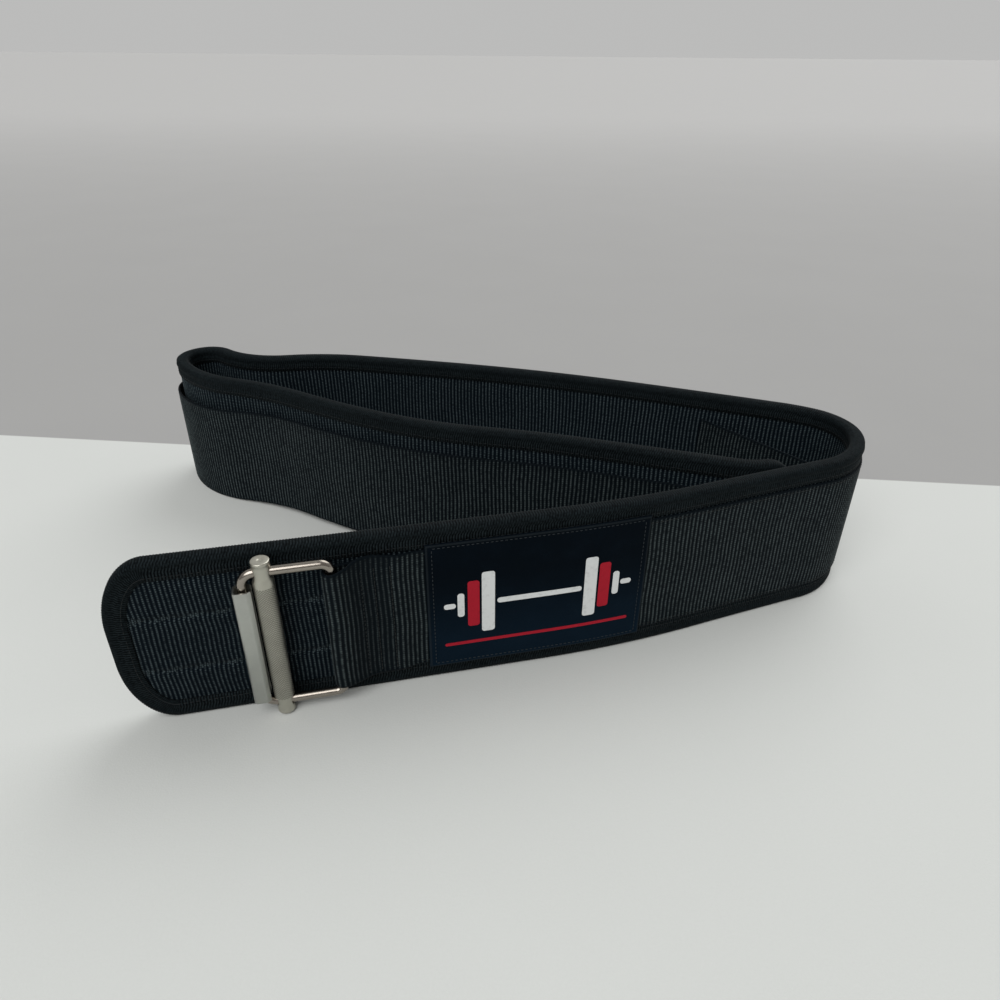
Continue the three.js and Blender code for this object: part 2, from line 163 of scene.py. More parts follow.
def nearest(points, others):
    return np.linalg.norm(points[:, None] - others[None], axis=-1).min()


def leaning_path():
    """The band's path. The exit of the left bend is solved so that the middle stretch clears the front."""
    wanted = BAND_HALF + OVER_OFFSET + STRAP_THICKNESS / 2 + LEAN_GAP

    def bent(lean):
        rows = [(share, turn + lean * (k == LEANING_ROW)) for k, (share, turn) in enumerate(PATH)]
        return PlanPath((0, 0), math.radians(FLAP_HEADING), BAND_LENGTH, rows)

    low, high = -LEAN_RANGE, LEAN_RANGE
    while high - low > LEAN_RANGE * 1e-6:
        middle = (low + high) / 2
        route = bent(middle)
        if nearest(middle_points(route, LEANING_STRETCH), middle_points(route, FRONT_STRETCH)) > wanted:
            high = middle
        else:
            low = middle
    return bent(high)


band = leaning_path()
joints = {joint["name"]: joint for joint in frame["joints"]}
swing_place = np.array(joints["buckle_swing"]["pos_m"][:2])
shift = swing_place - band.plan(BAR_FROM_TIP, BUCKLE_OFFSET)


def place(plan, height):
    """Points in the row frame from plan points of the path and heights."""
    plan = np.asarray(plan) + shift
    height = np.broadcast_to(height, plan.shape[:-1])
    return np.concatenate([plan, height[..., None]], axis=-1)


def bend(distance, outward, height):
    """Points in the row frame from flat values."""
    distance, outward, height = np.broadcast_arrays(distance, outward, height)
    return place(band.plan(distance, outward), height)


def sides(distance):
    """Directions along the band and outward from it, in the row frame."""
    facing = band.at(distance)[1]
    flat = np.zeros_like(facing)
    along = np.stack([np.cos(facing), np.sin(facing), flat], axis=-1)
    outward = np.stack([np.sin(facing), -np.cos(facing), flat], axis=-1)
    return along, outward


# Meshes

def quads(columns, rows, wrap_columns=False, wrap_rows=False):
    """Faces of a grid of points that are counted row by row within each column."""
    c, r = np.meshgrid(
        np.arange(columns if wrap_columns else columns - 1),
        np.arange(rows if wrap_rows else rows - 1),
        indexing="ij",
    )
    c1, r1 = (c + 1) % columns, (r + 1) % rows
    return np.stack([c * rows + r, c1 * rows + r, c1 * rows + r1, c * rows + r1], axis=-1).reshape(-1, 4)


def turned_outward(points, faces):
    """The faces, all reversed if together they point into the closed body."""
    a, b, c, d = (points[faces[:, k]] for k in range(4))
    volume = (a * np.cross(b, c)).sum() + (a * np.cross(c, d)).sum()
    return faces if volume > 0 else faces[:, ::-1]


def build(name, points, faces, extra_faces=(), attributes=None, sharp=None):
    """A smooth mesh object. Attributes are numbers or vectors for each point, and sharp is the angle, in
    degrees, past which an edge stays sharp."""
    mesh = bpy.data.meshes.new(name)
    mesh.from_pydata(points.reshape(-1, 3).tolist(), [], [*faces.tolist(), *extra_faces])
    mesh.polygons.foreach_set("use_smooth", np.ones(len(mesh.polygons), bool))
    for title, values in (attributes or {}).items():
        vector = values.ndim > 1 and values.shape[-1] == 3
        made = mesh.attributes.new(title, "FLOAT_VECTOR" if vector else "FLOAT", "POINT")
        values = np.ascontiguousarray(values, np.float32).ravel()
        made.data.foreach_set("vector" if vector else "value", values)
    if sharp is not None:
        mesh.set_sharp_from_angle(angle=math.radians(sharp))
    mesh.update()
    thing = bpy.data.objects.new(name, mesh)
    bpy.context.scene.collection.objects.link(thing)
    return thing


def tube_of(name, sections, closed_along, attributes=None, sharp=None):
    """A closed body through a row of closed sections, capped at both ends unless it joins up."""
    columns, rows = sections.shape[:2]
    points = sections.reshape(-1, 3)
    faces = quads(columns, rows, wrap_columns=closed_along, wrap_rows=True)
    outward = turned_outward(points, faces)
    caps = []
    if not closed_along:
        first, last = list(range(rows)), list(range((columns - 1) * rows, columns * rows))
        flipped = outward is not faces
        caps = [first if flipped else first[::-1], last[::-1] if flipped else last]
    return build(name, points, outward, caps, attributes, sharp)


def finish_piece(piece, finish, body, replaced=None):
    """Gives a piece its material and its body, and hides the solid that it stands for."""
    piece.data.materials.append(finish)
    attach(piece, body)
    if replaced:
        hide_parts(replaced)
    return piece


RIB_SHAPE = ((0.0, -1.0), (0.26, -0.4), (0.5, 1.0), (0.74, -0.4))


def ribbed(start, end, pitch):
    """Stations along a ribbed stretch, four to a rib, with the relief at each, from -1 in a groove to 1."""
    ribs = max(1, round((end - start) / pitch))
    phase = np.arange(ribs)[:, None] + np.array([at for at, _ in RIB_SHAPE])
    relief = np.tile([rise for _, rise in RIB_SHAPE], ribs)
    stations = start + phase.ravel() * (end - start) / ribs
    return np.append(stations, end), np.append(relief, RIB_SHAPE[0][1])


def rib_row(stations):
    """Which rib each station belongs to."""
    return (np.arange(len(stations)) // len(RIB_SHAPE)).astype(float)


THREAD_RINGS = ((-0.5, 0.35, -0.5), (-0.3, 0.95, 0.05), (0.0, 1.0, 0.2), (0.3, 0.95, 0.05), (0.5, 0.35, -0.5))
THREAD_SIDES = 5


def stitches(name, centres, along, outward, length, radius):
    """Stitches of thread, each a short bead that arches out of the cloth: its rings have a place along it, a
    width and a lift, as shares of its length and its radius. Places and directions come as lists of rows."""
    centres, along, outward = (np.concatenate(rows) for rows in (centres, along, outward))
    across = np.cross(along, outward)
    turn = np.arange(THREAD_SIDES) * 2 * np.pi / THREAD_SIDES
    rings = []
    for at, width, lift in THREAD_RINGS:
        centre = centres + along * at * length + outward * lift * radius
        ring = [centre + radius * width * (across * np.cos(t) + outward * np.sin(t)) for t in turn]
        rings.append(np.stack(ring, axis=1))
    points = np.stack(rings, axis=1)
    per_stitch = len(THREAD_RINGS) * THREAD_SIDES
    one = quads(len(THREAD_RINGS), THREAD_SIDES, wrap_rows=True)
    first = points[0].reshape(-1, 3)
    one = turned_outward(first - first.mean(axis=0), one)
    starts = (np.arange(len(centres)) * per_stitch)[:, None, None]
    faces = (one[None] + starts).reshape(-1, 4)
    ends = []
    for start in range(0, len(centres) * per_stitch, per_stitch):
        ends.append(list(range(start, start + THREAD_SIDES)))
        ends.append(list(range(start + per_stitch - 1, start + per_stitch - 1 - THREAD_SIDES, -1)))
    return build(name, points.reshape(-1, 3), faces, ends)


# Materials

class Value:
    """A number in a node tree that arithmetic can be written with."""

    def __init__(self, nodes, socket):
        self.nodes = nodes
        self.socket = socket

    def math(self, operation, first, second=None):
        inputs = {k: v for k, v in enumerate((first, second)) if v is not None}
        return self.nodes.value("ShaderNodeMath", {"operation": operation}, inputs)

    def __add__(self, other):
        return self.math("ADD", self, other)

    def __radd__(self, other):
        return self.math("ADD", other, self)

    def __sub__(self, other):
        return self.math("SUBTRACT", self, other)

    def __rsub__(self, other):
        return self.math("SUBTRACT", other, self)

    def __mul__(self, other):
        return self.math("MULTIPLY", self, other)

    def __rmul__(self, other):
        return self.math("MULTIPLY", other, self)

    def __truediv__(self, other):
        return self.math("DIVIDE", self, other)

    def wave(self):
        """A cosine wave from 0 to 1 that repeats with each whole number."""
        return self.math("COSINE", self * (2 * math.pi)) * 0.5 + 0.5

    def between(self, low, high):
        """A soft step from 0 at low to 1 at high."""
        settings = {"interpolation_type": "SMOOTHSTEP"}
        inputs = {"Value": self, "From Min": low, "From Max": high}
        return self.nodes.value("ShaderNodeMapRange", settings, inputs)


class Nodes:
    """A node tree under way."""

    def __init__(self, tree):
        self.tree = tree

    @staticmethod
    def find(sockets, key):
        if isinstance(key, int):
            return sockets[key]
        return next(s for s in sockets if key in (s.identifier, s.name))

    def node(self, kind, settings=None, inputs=None):
        """Adds a node: its settings first, then the values or links of its sockets."""
        made = self.tree.nodes.new(kind)
        for title, setting in (settings or {}).items():
            setattr(made, title, setting)
        for key, given in (inputs or {}).items():
            self.feed(self.find(made.inputs, key), given)
        return made

    def feed(self, socket, given):
        if isinstance(given, Value):
            given = given.socket
        if isinstance(given, bpy.types.NodeSocket):
            self.tree.links.new(given, socket)
        else:
            socket.default_value = given

    def value(self, kind, settings=None, inputs=None, output=0):
        return Value(self, self.find(self.node(kind, settings, inputs).outputs, output))

    def mix(self, share, one, other):
        """A colour between two colours."""
        inputs = {"Factor_Float": share, "A_Color": one, "B_Color": other}
        made = self.node("ShaderNodeMix", {"data_type": "RGBA"}, inputs)
        return self.find(made.outputs, "Result_Color")

    def noise(self, vector, size, detail=2.0, roughness=0.5):
        """Soft noise from 0 to 1 with grains of about the given size in metres."""
        inputs = {"Vector": vector, "Scale": 1 / size, "Detail": detail, "Roughness": roughness}
        return self.value("ShaderNodeTexNoise", None, inputs)


class Finish(Nodes):
    """A material under way: its node tree and its one shader."""

    def __init__(self, name, **constants):
        self.material = bpy.data.materials.new(name)
        self.material.use_nodes = True
        super().__init__(self.material.node_tree)
        self.shader = self.tree.nodes["Principled BSDF"]
        for title, constant in constants.items():
            self.shader.inputs[title.replace("_", " ").title().replace("Ior", "IOR")].default_value = constant

    def flat(self):
        """The distance along the band and the height, in metres, as the piece's own flat values."""
        vector = self.node("ShaderNodeAttribute", {"attribute_name": "flat"}).outputs["Vector"]
        split = self.node("ShaderNodeSeparateXYZ", inputs={0: vector})
        return vector, Value(self, split.outputs[0]), Value(self, split.outputs[1])

    def attribute(self, name):
        return self.value("ShaderNodeAttribute", {"attribute_name": name}, output="Fac")

    def places(self):
        """The surface's own coordinates in metres."""
        return self.node("ShaderNodeTexCoord").outputs["Object"]

    def surface(self, colour=None, roughness=None, relief=None, depth=MM):
        """Feeds the shader. The relief is a height from 0 to 1 that stands for a depth in metres."""
        if colour is not None:
            self.feed(self.shader.inputs["Base Color"], colour)
        if roughness is not None:
            self.feed(self.shader.inputs["Roughness"], roughness)
        if relief is not None:
            inputs = {"Height": relief, "Distance": depth, "Strength": 1.0}
            bump = self.node("ShaderNodeBump", None, inputs)
            self.feed(self.shader.inputs["Normal"], bump.outputs["Normal"])
        return self.material


def shade(colour, share):
    """A colour made lighter or darker by a share, with its alpha kept."""
    return (*(min(1.0, part * share) for part in colour[:3]), 1.0)


def fabric_finish(name, shaded_groove, rib_highlight, yarn_pitch):
    """Ribbed nylon: yarns wound round each rib, with painted shade between the ribs and a painted highlight
    on the crests.
    """
    finish = Finish(name, roughness=0.62, sheen_weight=0.02, sheen_roughness=0.4, specular_ior_level=0.05)
    vector, _, height = finish.flat()
    rib = finish.attribute("rib")
    twist = (height / yarn_pitch + finish.attribute("row") * 0.5).wave()
    fibres = finish.noise(vector, 0.35 * MM, 3.0, 0.6)
    patches = finish.noise(vector, 28 * MM, 3.0, 0.55)
    crest = rib.between(-0.8, 0.9)
    breaks = finish.noise(vector, 1.6 * MM, 2.0, 0.6).between(0.32, 0.6)
    light = crest * (0.12 + 0.88 * twist) * (0.3 + 0.9 * breaks)
    light *= (0.6 + 0.8 * fibres) * (0.6 + 0.8 * patches)
    # The tone runs from painted shade in the grooves to a painted highlight on the rib crests.
    tone = finish.mix(light, shaded_groove, rib_highlight)
    rough = 0.72 - 0.2 * crest + 0.1 * fibres
    relief = crest * twist * 0.7 + fibres * 0.3
    return finish.surface(tone, rough, relief, 0.22 * MM)


def webbing_finish(name, shaded_groove, rib_highlight, yarn_pitch):
    """Heavy webbing: round ribs broken up by a slanting yarn, with painted shade between them and a painted
    highlight on them.
    """
    finish = Finish(name, roughness=0.55, sheen_weight=0.04, sheen_roughness=0.35, specular_ior_level=0.06)
    vector, _, height = finish.flat()
    rib = finish.attribute("rib")
    yarn = (height / yarn_pitch + finish.attribute("row") * 0.8).wave()
    fibres = finish.noise(vector, 0.3 * MM, 3.0, 0.6)
    patches = finish.noise(vector, 22 * MM, 3.0, 0.55)
    crest = rib.between(-0.8, 0.9)
    breaks = finish.noise(vector, 1.8 * MM, 2.0, 0.6).between(0.32, 0.6)
    light = crest * (0.3 + 0.7 * yarn) * (0.35 + 0.85 * breaks)
    light *= (0.65 + 0.7 * fibres) * (0.6 + 0.8 * patches)
    # The tone runs from painted shade in the grooves to a painted highlight on the rib crests.
    tone = finish.mix(light, shaded_groove, rib_highlight)
    rough = 0.66 - 0.16 * crest + 0.1 * fibres
    relief = crest * yarn * 0.5 + fibres * 0.5
    return finish.surface(tone, rough, relief, 0.14 * MM)


def tape_finish(name, shaded_groove, rib_highlight):
    """Binding tape: fine ribs across it and a soft matt face, with painted shade between the ribs and a
    painted highlight on them.
    """
    finish = Finish(name, roughness=0.7, sheen_weight=0.02, sheen_roughness=0.4, specular_ior_level=0.04)
    vector, _, _ = finish.flat()
    rib = finish.attribute("rib")
    fibres = finish.noise(vector, 0.3 * MM, 3.0, 0.6)
    patches = finish.noise(vector, 30 * MM, 3.0, 0.5)
    crest = rib.between(-0.8, 1.0)
    breaks = finish.noise(vector, 1.5 * MM, 2.0, 0.6).between(0.32, 0.6)
    light = crest * (0.4 + 0.8 * breaks) * (0.6 + 0.8 * fibres) * (0.7 + 0.6 * patches)
    # The tone runs from painted shade in the grooves to a painted highlight on the rib crests.
    tone = finish.mix(light, shaded_groove, rib_highlight)
    return finish.surface(tone, 0.78 - 0.12 * crest, fibres, 0.12 * MM)


def thread_finish(name, colour):
    finish = Finish(name, roughness=0.5, sheen_weight=0.02, specular_ior_level=0.2)
    places = finish.places()
    fibres = finish.noise(places, 0.25 * MM, 2.0)
    tone = finish.mix(fibres, shade(colour, 0.6), shade(colour, 1.5))
    return finish.surface(tone, 0.5 + 0.15 * fibres, fibres, 0.05 * MM)


def leather_finish(name, colour, rim_highlight_colour):
    """The label's face: a fine pebbled grain, a few rubbed places, a painted reflection of the table that
    pales it toward its foot, and a painted highlight on its rim.
    """
    finish = Finish(name, roughness=0.5, specular_ior_level=0.03)
    vector, _, height = finish.flat()
    cells = finish.value(
        "ShaderNodeTexVoronoi", {"feature": "DISTANCE_TO_EDGE"}, {"Vector": vector, "Scale": 1 / (0.9 * MM)}
    )
    pebble = cells.between(0.0, 0.25)
    grain = finish.noise(vector, 0.5 * MM, 3.0, 0.6)
    rubbed = finish.noise(vector, 17 * MM, 4.0, 0.6).between(0.45, 0.8)
    # Painted reflection of the table: the face is made paler toward its foot.
    foot = 1 - height.between(15 * MM, 75 * MM)
    plain = finish.mix(rubbed * 0.15 + grain * 0.15 + foot * 0.7, shade(colour, 0.8), shade(colour, 4))
    # Painted highlight along the rim, in the thread's colour.
    tone = finish.mix(finish.attribute("rim") * (0.2 + 0.6 * grain), plain, rim_highlight_colour)
    rough = 0.5 + 0.1 * grain - 0.1 * rubbed
    return finish.surface(tone, rough, pebble * 0.5 + grain * 0.5, 0.06 * MM)


def print_finish(name, colour):
    """Printed or stamped colour on the label, worn a little through to its grain."""
    finish = Finish(name, roughness=0.5, specular_ior_level=0.15)
    vector, _, _ = finish.flat()
    worn = finish.noise(vector, 3 * MM, 4.0, 0.65).between(0.5, 0.85)
    grain = finish.noise(vector, 0.5 * MM, 3.0, 0.6)
    tone = finish.mix(worn * 0.45 + grain * 0.1, colour, shade(colour, 0.45))
    return finish.surface(tone, 0.5 + 0.15 * grain, grain, 0.05 * MM)


SCRATCH_STRETCH = (1.0, 1.0, 0.06)


def metal_finish(name, colour, roughness, grain_size, grain_share):
    """Nickel plating with fine scratches, faint cloudy patches and painted shade in the knurl's grooves."""
    finish = Finish(name, metallic=1.0)
    places = finish.places()
    inputs = {0: places, 1: SCRATCH_STRETCH}
    stretched = finish.node("ShaderNodeVectorMath", {"operation": "MULTIPLY"}, inputs)
    scratches = finish.noise(stretched.outputs[0], grain_size, 3.0, 0.7)
    cloud = finish.noise(places, 6 * MM, 3.0, 0.5)
    knurl_groove_shade = finish.attribute("knurl_groove_shade")
    # Painted shade: darker where the knurl's grooves sink in.
    share = 0.75 + 0.25 * cloud - 0.95 * knurl_groove_shade
    tone = finish.mix(share, shade(colour, 0.35), shade(colour, 1.15))
    rough = roughness + grain_share * scratches + 0.06 * cloud
    return finish.surface(tone, rough, scratches, 0.01 * MM)


def stage_finish(name, colour, beyond, edge_place, edge_slope):
    """A pale cloth-like table that ends at a slanting line, with the greyer ground beyond it in painted
    shade, darkest near the line.
    """
    finish = Finish(name, roughness=0.8, specular_ior_level=0.2)
    places = finish.places()
    split = finish.node("ShaderNodeSeparateXYZ", inputs={0: places})
    across, back = Value(finish, split.outputs[0]), Value(finish, split.outputs[1])
    past = (back - edge_place + across * edge_slope).between(-0.0008, 0.0008)
    weave = finish.noise(places, 1.1 * MM, 3.0, 0.6)
    clouds = finish.noise(places, 160 * MM, 3.0, 0.5)
    near = finish.mix(weave * 0.5 + clouds * 0.5, shade(colour, 0.95), shade(colour, 1.04))
    # Painted shade on the ground beyond: darker near the table's edge, lighter far away.
    away = back.between(0.2, 4.5)
    far = finish.mix(clouds * 0.12 + away * 0.88, shade(beyond, 0.83), shade(beyond, 1.17))
    return finish.surface(finish.mix(past, near, far), 0.8, weave, 0.08 * MM)


# Settings

def length(name, description, default):
    return FloatProperty(
        name=name, description=description, default=default, min=0.0, unit="LENGTH", precision=5
    )


def strength(name, description, default):
    return FloatProperty(name=name, description=description, default=default, min=0.0)


def colour(name, description, default):
    return FloatVectorProperty(
        name=name, description=description, default=(*default, 1.0), size=4, min=0.0, max=1.0, subtype="COLOR"
    )


class BandSettings(bpy.types.PropertyGroup):
    rib_pitch: length("Rib Pitch", "Distance from rib to rib of the band's lining", 2.75 * MM)
    flap_rib_pitch: length("Flap Rib Pitch", "Distance from rib to rib of the flap's face", 2.35 * MM)
    rib_rise: length("Rib Rise", "Half the height of a rib", 0.27 * MM)
    yarn_pitch: length("Yarn Pitch", "Distance between the yarns wound round a rib", 1.3 * MM)
    puff: length("Puff", "How far the lining swells between its bound edges", 0.55 * MM)
    quilt_depth: length("Quilt Depth", "Depth of the two stitched lines along the flap", 1.0 * MM)
    # The fabric colour is the dark nylon deepened into painted shade between the ribs, and the rib highlight
    # colour is a painted highlight on the ribs.
    fabric: colour("Fabric", "Colour of the fabric between its ribs", (0.0007, 0.003, 0.0058))
    rib_highlight: colour("Rib Crown", "Colour of the fabric where its ribs catch dust", (0.068, 0.092, 0.1))


class BindingSettings(bpy.types.PropertyGroup):
    rib_pitch: length("Rib Pitch", "Distance between the fine ribs of the tape", 1.54 * MM)
    rib_rise: length("Rib Rise", "Half the height of the tape's ribs", 0.2 * MM)
    stitch_pitch: length("Stitch Pitch", "Distance from stitch to stitch along the tape", 3.2 * MM)
    # The tape colour is deepened into painted shade between the ribs, and the rib highlight colour is a
    # painted highlight on the ribs.
    tape: colour("Tape", "Colour of the binding tape between its ribs", (0.0003, 0.0009, 0.0014))
    rib_highlight: colour("Rib Crown", "Colour of the tape on its ribs", (0.0135, 0.0195, 0.022))
    thread: colour("Thread", "Colour of the sewing thread", (0.004, 0.006, 0.007))


class StrapSettings(bpy.types.PropertyGroup):
    rib_pitch: length("Rib Pitch", "Distance from rib to rib of the webbing", 2.72 * MM)
    yarn_pitch: length("Yarn Pitch", "Distance between the yarns across a rib of the webbing", 1.45 * MM)
    rib_rise: length("Rib Rise", "Half the height of a rib of the webbing", 0.24 * MM)
    # The webbing colour is deepened into painted shade between the ribs, and the rib highlight colour is a
    # painted highlight on the ribs.
    webbing: colour("Webbing", "Colour of the webbing between its ribs", (0.0008, 0.0028, 0.0047))
    rib_highlight: colour("Rib Crown", "Colour of the webbing on its ribs", (0.062, 0.08, 0.082))


class PatchSettings(bpy.types.PropertyGroup):
    stitch_pitch: length("Stitch Pitch", "Distance from stitch to stitch round the label", 2.6 * MM)
    rim_rise: length("Rim Rise", "Height of the pressed rim round the label", 0.2 * MM)
    leather: colour("Leather", "Colour of the label", (0.0008, 0.0026, 0.005))
    pale: colour("Pale Print", "Colour of the pale part of the print", (0.64, 0.66, 0.66))
    accent: colour("Red Print", "Colour of the red part of the print", (0.35, 0.007, 0.02))
    # The thread colour also paints the highlight along the label's rim.
    thread: colour("Thread", "Colour of the label's thread and rim", (0.017, 0.022, 0.025))


class BuckleSettings(bpy.types.PropertyGroup):
    knurl_pitch: length("Knurl Pitch", "Distance from point to point of the roller's knurling", 1.45 * MM)
    knurl_depth: length("Knurl Depth", "Depth of the knurling", 0.32 * MM)
    wire: colour("Wire", "Colour of the polished wire", (0.31, 0.28, 0.245))
    satin: colour("Satin", "Colour of the satin sleeve", (0.42, 0.43, 0.4))
    roller: colour("Roller", "Colour of the knurled roller", (0.46, 0.45, 0.39))


class StageSettings(bpy.types.PropertyGroup):
    table: colour("Table", "Colour of the table under the belt", (0.602, 0.62, 0.602))
    beyond: colour("Beyond", "Colour of the ground beyond the table", (0.4, 0.4, 0.396))
    key_strength: strength("Key Light", "Strength of the wide soft light", 2.0)
    rear_strength: strength("Rear Light", "Strength of the light on the far side", 1.2)
    back: colour("Back", "Light that comes from behind the belt", (0.5, 0.5, 0.495))
    front: colour("Front", "Dimmer light that comes from the side of the camera", (0.26, 0.25, 0.24))


class BeltSettings(bpy.types.PropertyGroup):
    band: PointerProperty(type=BandSettings)
    binding: PointerProperty(type=BindingSettings)
    strap: PointerProperty(type=StrapSettings)
    patch: PointerProperty(type=PatchSettings)
    buckle: PointerProperty(type=BuckleSettings)
    stage: PointerProperty(type=StageSettings)


# Padded band

CORNER_STEPS = 48


def round_corner():
    """A round corner from the long edge to the end: how far from the end, how much of the height is cut, and
    the direction that points into the band, as along and up."""
    angle = np.linspace(0, np.pi / 2, CORNER_STEPS + 1)[1:]
    inward = np.stack([np.sin(angle) / CORNER_LENGTH, np.cos(angle) / CORNER_HEIGHT], axis=-1)
    inward /= np.linalg.norm(inward, axis=-1, keepdims=True)
    return CORNER_LENGTH * (1 - np.sin(angle)), CORNER_HEIGHT * (1 - np.cos(angle)), inward


def end_cut(distance, inset):
    """How much of the height the round corners cut away at a distance, for an outline inset all round."""
    from_end, cut, inward = round_corner()
    inset_from_end = from_end + inset * inward[:, 0]
    inset_cut = cut + inset * inward[:, 1]
    nearer = np.minimum(distance, BAND_LENGTH - distance)
    return np.interp(nearer, inset_from_end[::-1], inset_cut[::-1], left=np.nan, right=inset)


FACE_ROWS = 12
FLAP_FACE_END = 130 * MM
UNDER_FLAP_FACE = 0.5 * MM
EDGE_ROUNDING = 1.5 * MM
QUILT_HEIGHTS = (32 * MM, 66 * MM)
QUILT_WIDTH = 1.9 * MM
QUILT_KINK = 0.55 * MM
QUILT_REACH = 6 * MM
QUILT_START = 8 * MM
SWELL_FADES = (95 * MM, 120 * MM)
QUILT_STITCH_PITCH = 3.1 * MM
QUILT_STITCH = 2.3 * MM
QUILT_THREAD = 0.24 * MM
QUILT_THREAD_SUNK = 0.9 * MM


def rib_sway(distance, height):
    """How far the ribs wander along the band from their straight line."""
    slow = np.sin(height / (9 * MM) + distance / (31 * MM))
    quick = np.sin(height / (3.4 * MM) + distance / (11 * MM))
    return 0.32 * MM * slow + 0.1 * MM * quick


def make_band(settings):
    inset = BINDING_WALL + LAYER_GAP
    stations, relief = ribbed(inset, BAND_LENGTH - inset, settings.rib_pitch)
    cut = end_cut(np.clip(stations, inset + 1e-7, BAND_LENGTH - inset - 1e-7), inset)[:, None]
    share = np.linspace(0, 1, FACE_ROWS)[None]
    height = cut + share * (BAND_HEIGHT - 2 * cut)
    from_edge = np.minimum(height, BAND_HEIGHT - height)
    shown = smoothstep(from_edge, BINDING_LEG - 3 * MM, BINDING_LEG)
    rise = relief[:, None] * settings.rib_rise * (0.35 + 0.65 * shown)
    rounding = EDGE_ROUNDING * (np.abs(2 * share - 1) > 0.999)
    under = UNDER_FLAP_FACE * (stations[:, None] < FLAP_FACE_END)
    outer = CORE_HALF - 0.05 * MM + rise - rounding - under
    swell = settings.puff * smoothstep(from_edge, BINDING_LEG - 2 * MM, 2.2 * BINDING_LEG)
    inner = -(CORE_HALF - 0.05 * MM + rise + swell - rounding)
    sway = rib_sway(stations[:, None], height) * (shown > 0)
    distance = stations[:, None] + sway
    there = bend(distance, outer, height)
    back = bend(distance, inner, height)[:, ::-1]
    sections = np.concatenate([there, back], axis=1)
    flat = np.stack(np.broadcast_arrays(stations[:, None], height, outer), axis=-1)
    attributes = {
        "flat": np.concatenate([flat, flat[:, ::-1]], axis=1).reshape(-1, 3),
        "rib": np.repeat(relief, 2 * FACE_ROWS),
        "row": np.repeat(rib_row(stations), 2 * FACE_ROWS),
    }
    finish = fabric_finish("ribbed_fabric", settings.fabric, settings.rib_highlight, settings.yarn_pitch)
    shell = tube_of("ribbed_band", sections, False, attributes)
    finish_piece(shell, finish, "belt", "padded_band")
    make_flap_face(settings, finish)


def make_flap_face(settings, finish):
    """The flap's outer face with every yarn, quilted by two lines of stitches along it."""
    hidden = BINDING_LEG - 4 * MM
    stations, relief = ribbed(hidden, FLAP_FACE_END, settings.flap_rib_pitch)
    rows = int((BAND_HEIGHT - 2 * hidden) / settings.yarn_pitch) * 2
    height = np.linspace(hidden, BAND_HEIGHT - hidden, rows + 1)[None]
    row = rib_row(stations)
    yarn = np.cos(2 * np.pi * (height / settings.yarn_pitch + 0.5 * row[:, None]))
    from_edge = np.minimum(height, BAND_HEIGHT - height)
    from_edge = np.minimum(from_edge, stations[:, None])
    shown = smoothstep(from_edge, BINDING_LEG - 2.5 * MM, BINDING_LEG + 0.5 * MM)
    crest = np.clip(relief[:, None], 0, 1)
    rise = settings.rib_rise * (relief[:, None] + 0.5 * (yarn - 0.4) * crest) * (0.3 + 0.7 * shown)
    start = smoothstep(stations[:, None], QUILT_START, 2 * QUILT_START)
    grooves = sum(np.exp(-(((height - line) / QUILT_WIDTH) ** 2)) for line in QUILT_HEIGHTS)
    swell = smoothstep(from_edge, BINDING_LEG, 2.0 * BINDING_LEG)
    swell = swell * (1 - smoothstep(stations, *SWELL_FADES))[:, None]
    sewn_in = settings.quilt_depth * grooves * start * shown
    outward = CORE_HALF - 0.1 * MM + rise + swell * settings.puff - sewn_in
    past = [height - line for line in QUILT_HEIGHTS]
    kink = sum(np.tanh(off / QUILT_WIDTH) * np.exp(-np.abs(off) / QUILT_REACH) for off in past)
    distance = stations[:, None] + rib_sway(stations[:, None], height) + QUILT_KINK * kink * start
    points = bend(distance, outward, height)
    flat = np.stack(np.broadcast_arrays(stations[:, None], height, outward), axis=-1)
    columns, rows = points.shape[:2]
    faces = quads(columns, rows)
    middle = flat.reshape(-1, 3)[faces].mean(axis=1)
    cut = np.nan_to_num(end_cut(middle[:, 0], hidden), nan=BAND_HEIGHT)
    faces = faces[(middle[:, 1] > cut) & (BAND_HEIGHT - middle[:, 1] > cut)]
    used, faces = np.unique(faces, return_inverse=True)
    attributes = {
        "flat": flat.reshape(-1, 3)[used],
        "rib": np.repeat(relief, rows)[used],
        "row": np.repeat(row, rows)[used],
    }
    face = build("flap_face", points.reshape(-1, 3)[used], faces.reshape(-1, 4)[:, ::-1], (), attributes)
    finish_piece(face, finish, "belt")

    count = int((BAR_FROM_TIP - QUILT_START) / QUILT_STITCH_PITCH)
    at = QUILT_START + (np.arange(count) + 0.5) * QUILT_STITCH_PITCH
    centres, along, out = [], [], []
    for line in QUILT_HEIGHTS:
        centres.append(bend(at, CORE_HALF - QUILT_THREAD_SUNK, line))
        ahead, away = sides(at)
        along.append(ahead)
        out.append(away)
    thread = thread_finish("band_thread", shade(settings.rib_highlight, 0.12))
    made = stitches("quilting_stitches", centres, along, out, QUILT_STITCH, QUILT_THREAD)
    finish_piece(made, thread, "belt")


# Binding

BINDING_PROFILE = (
    (11.4, 3.55), (11.0, 4.2), (6.2, 4.15), (5.2, 3.75), (3.6, 4.65), (0.9, 4.15), (0.0, 2.0),
)
BINDING_INSIDE = 3.5 * MM
TAPE_COLUMNS = 3
TAPE_SLANT = 0.35
STITCH_DEPTH = 9.0 * MM
BINDING_STITCH_SHARE = 0.72
BINDING_THREAD = 0.25 * MM
BINDING_THREAD_OUT = 4.24 * MM


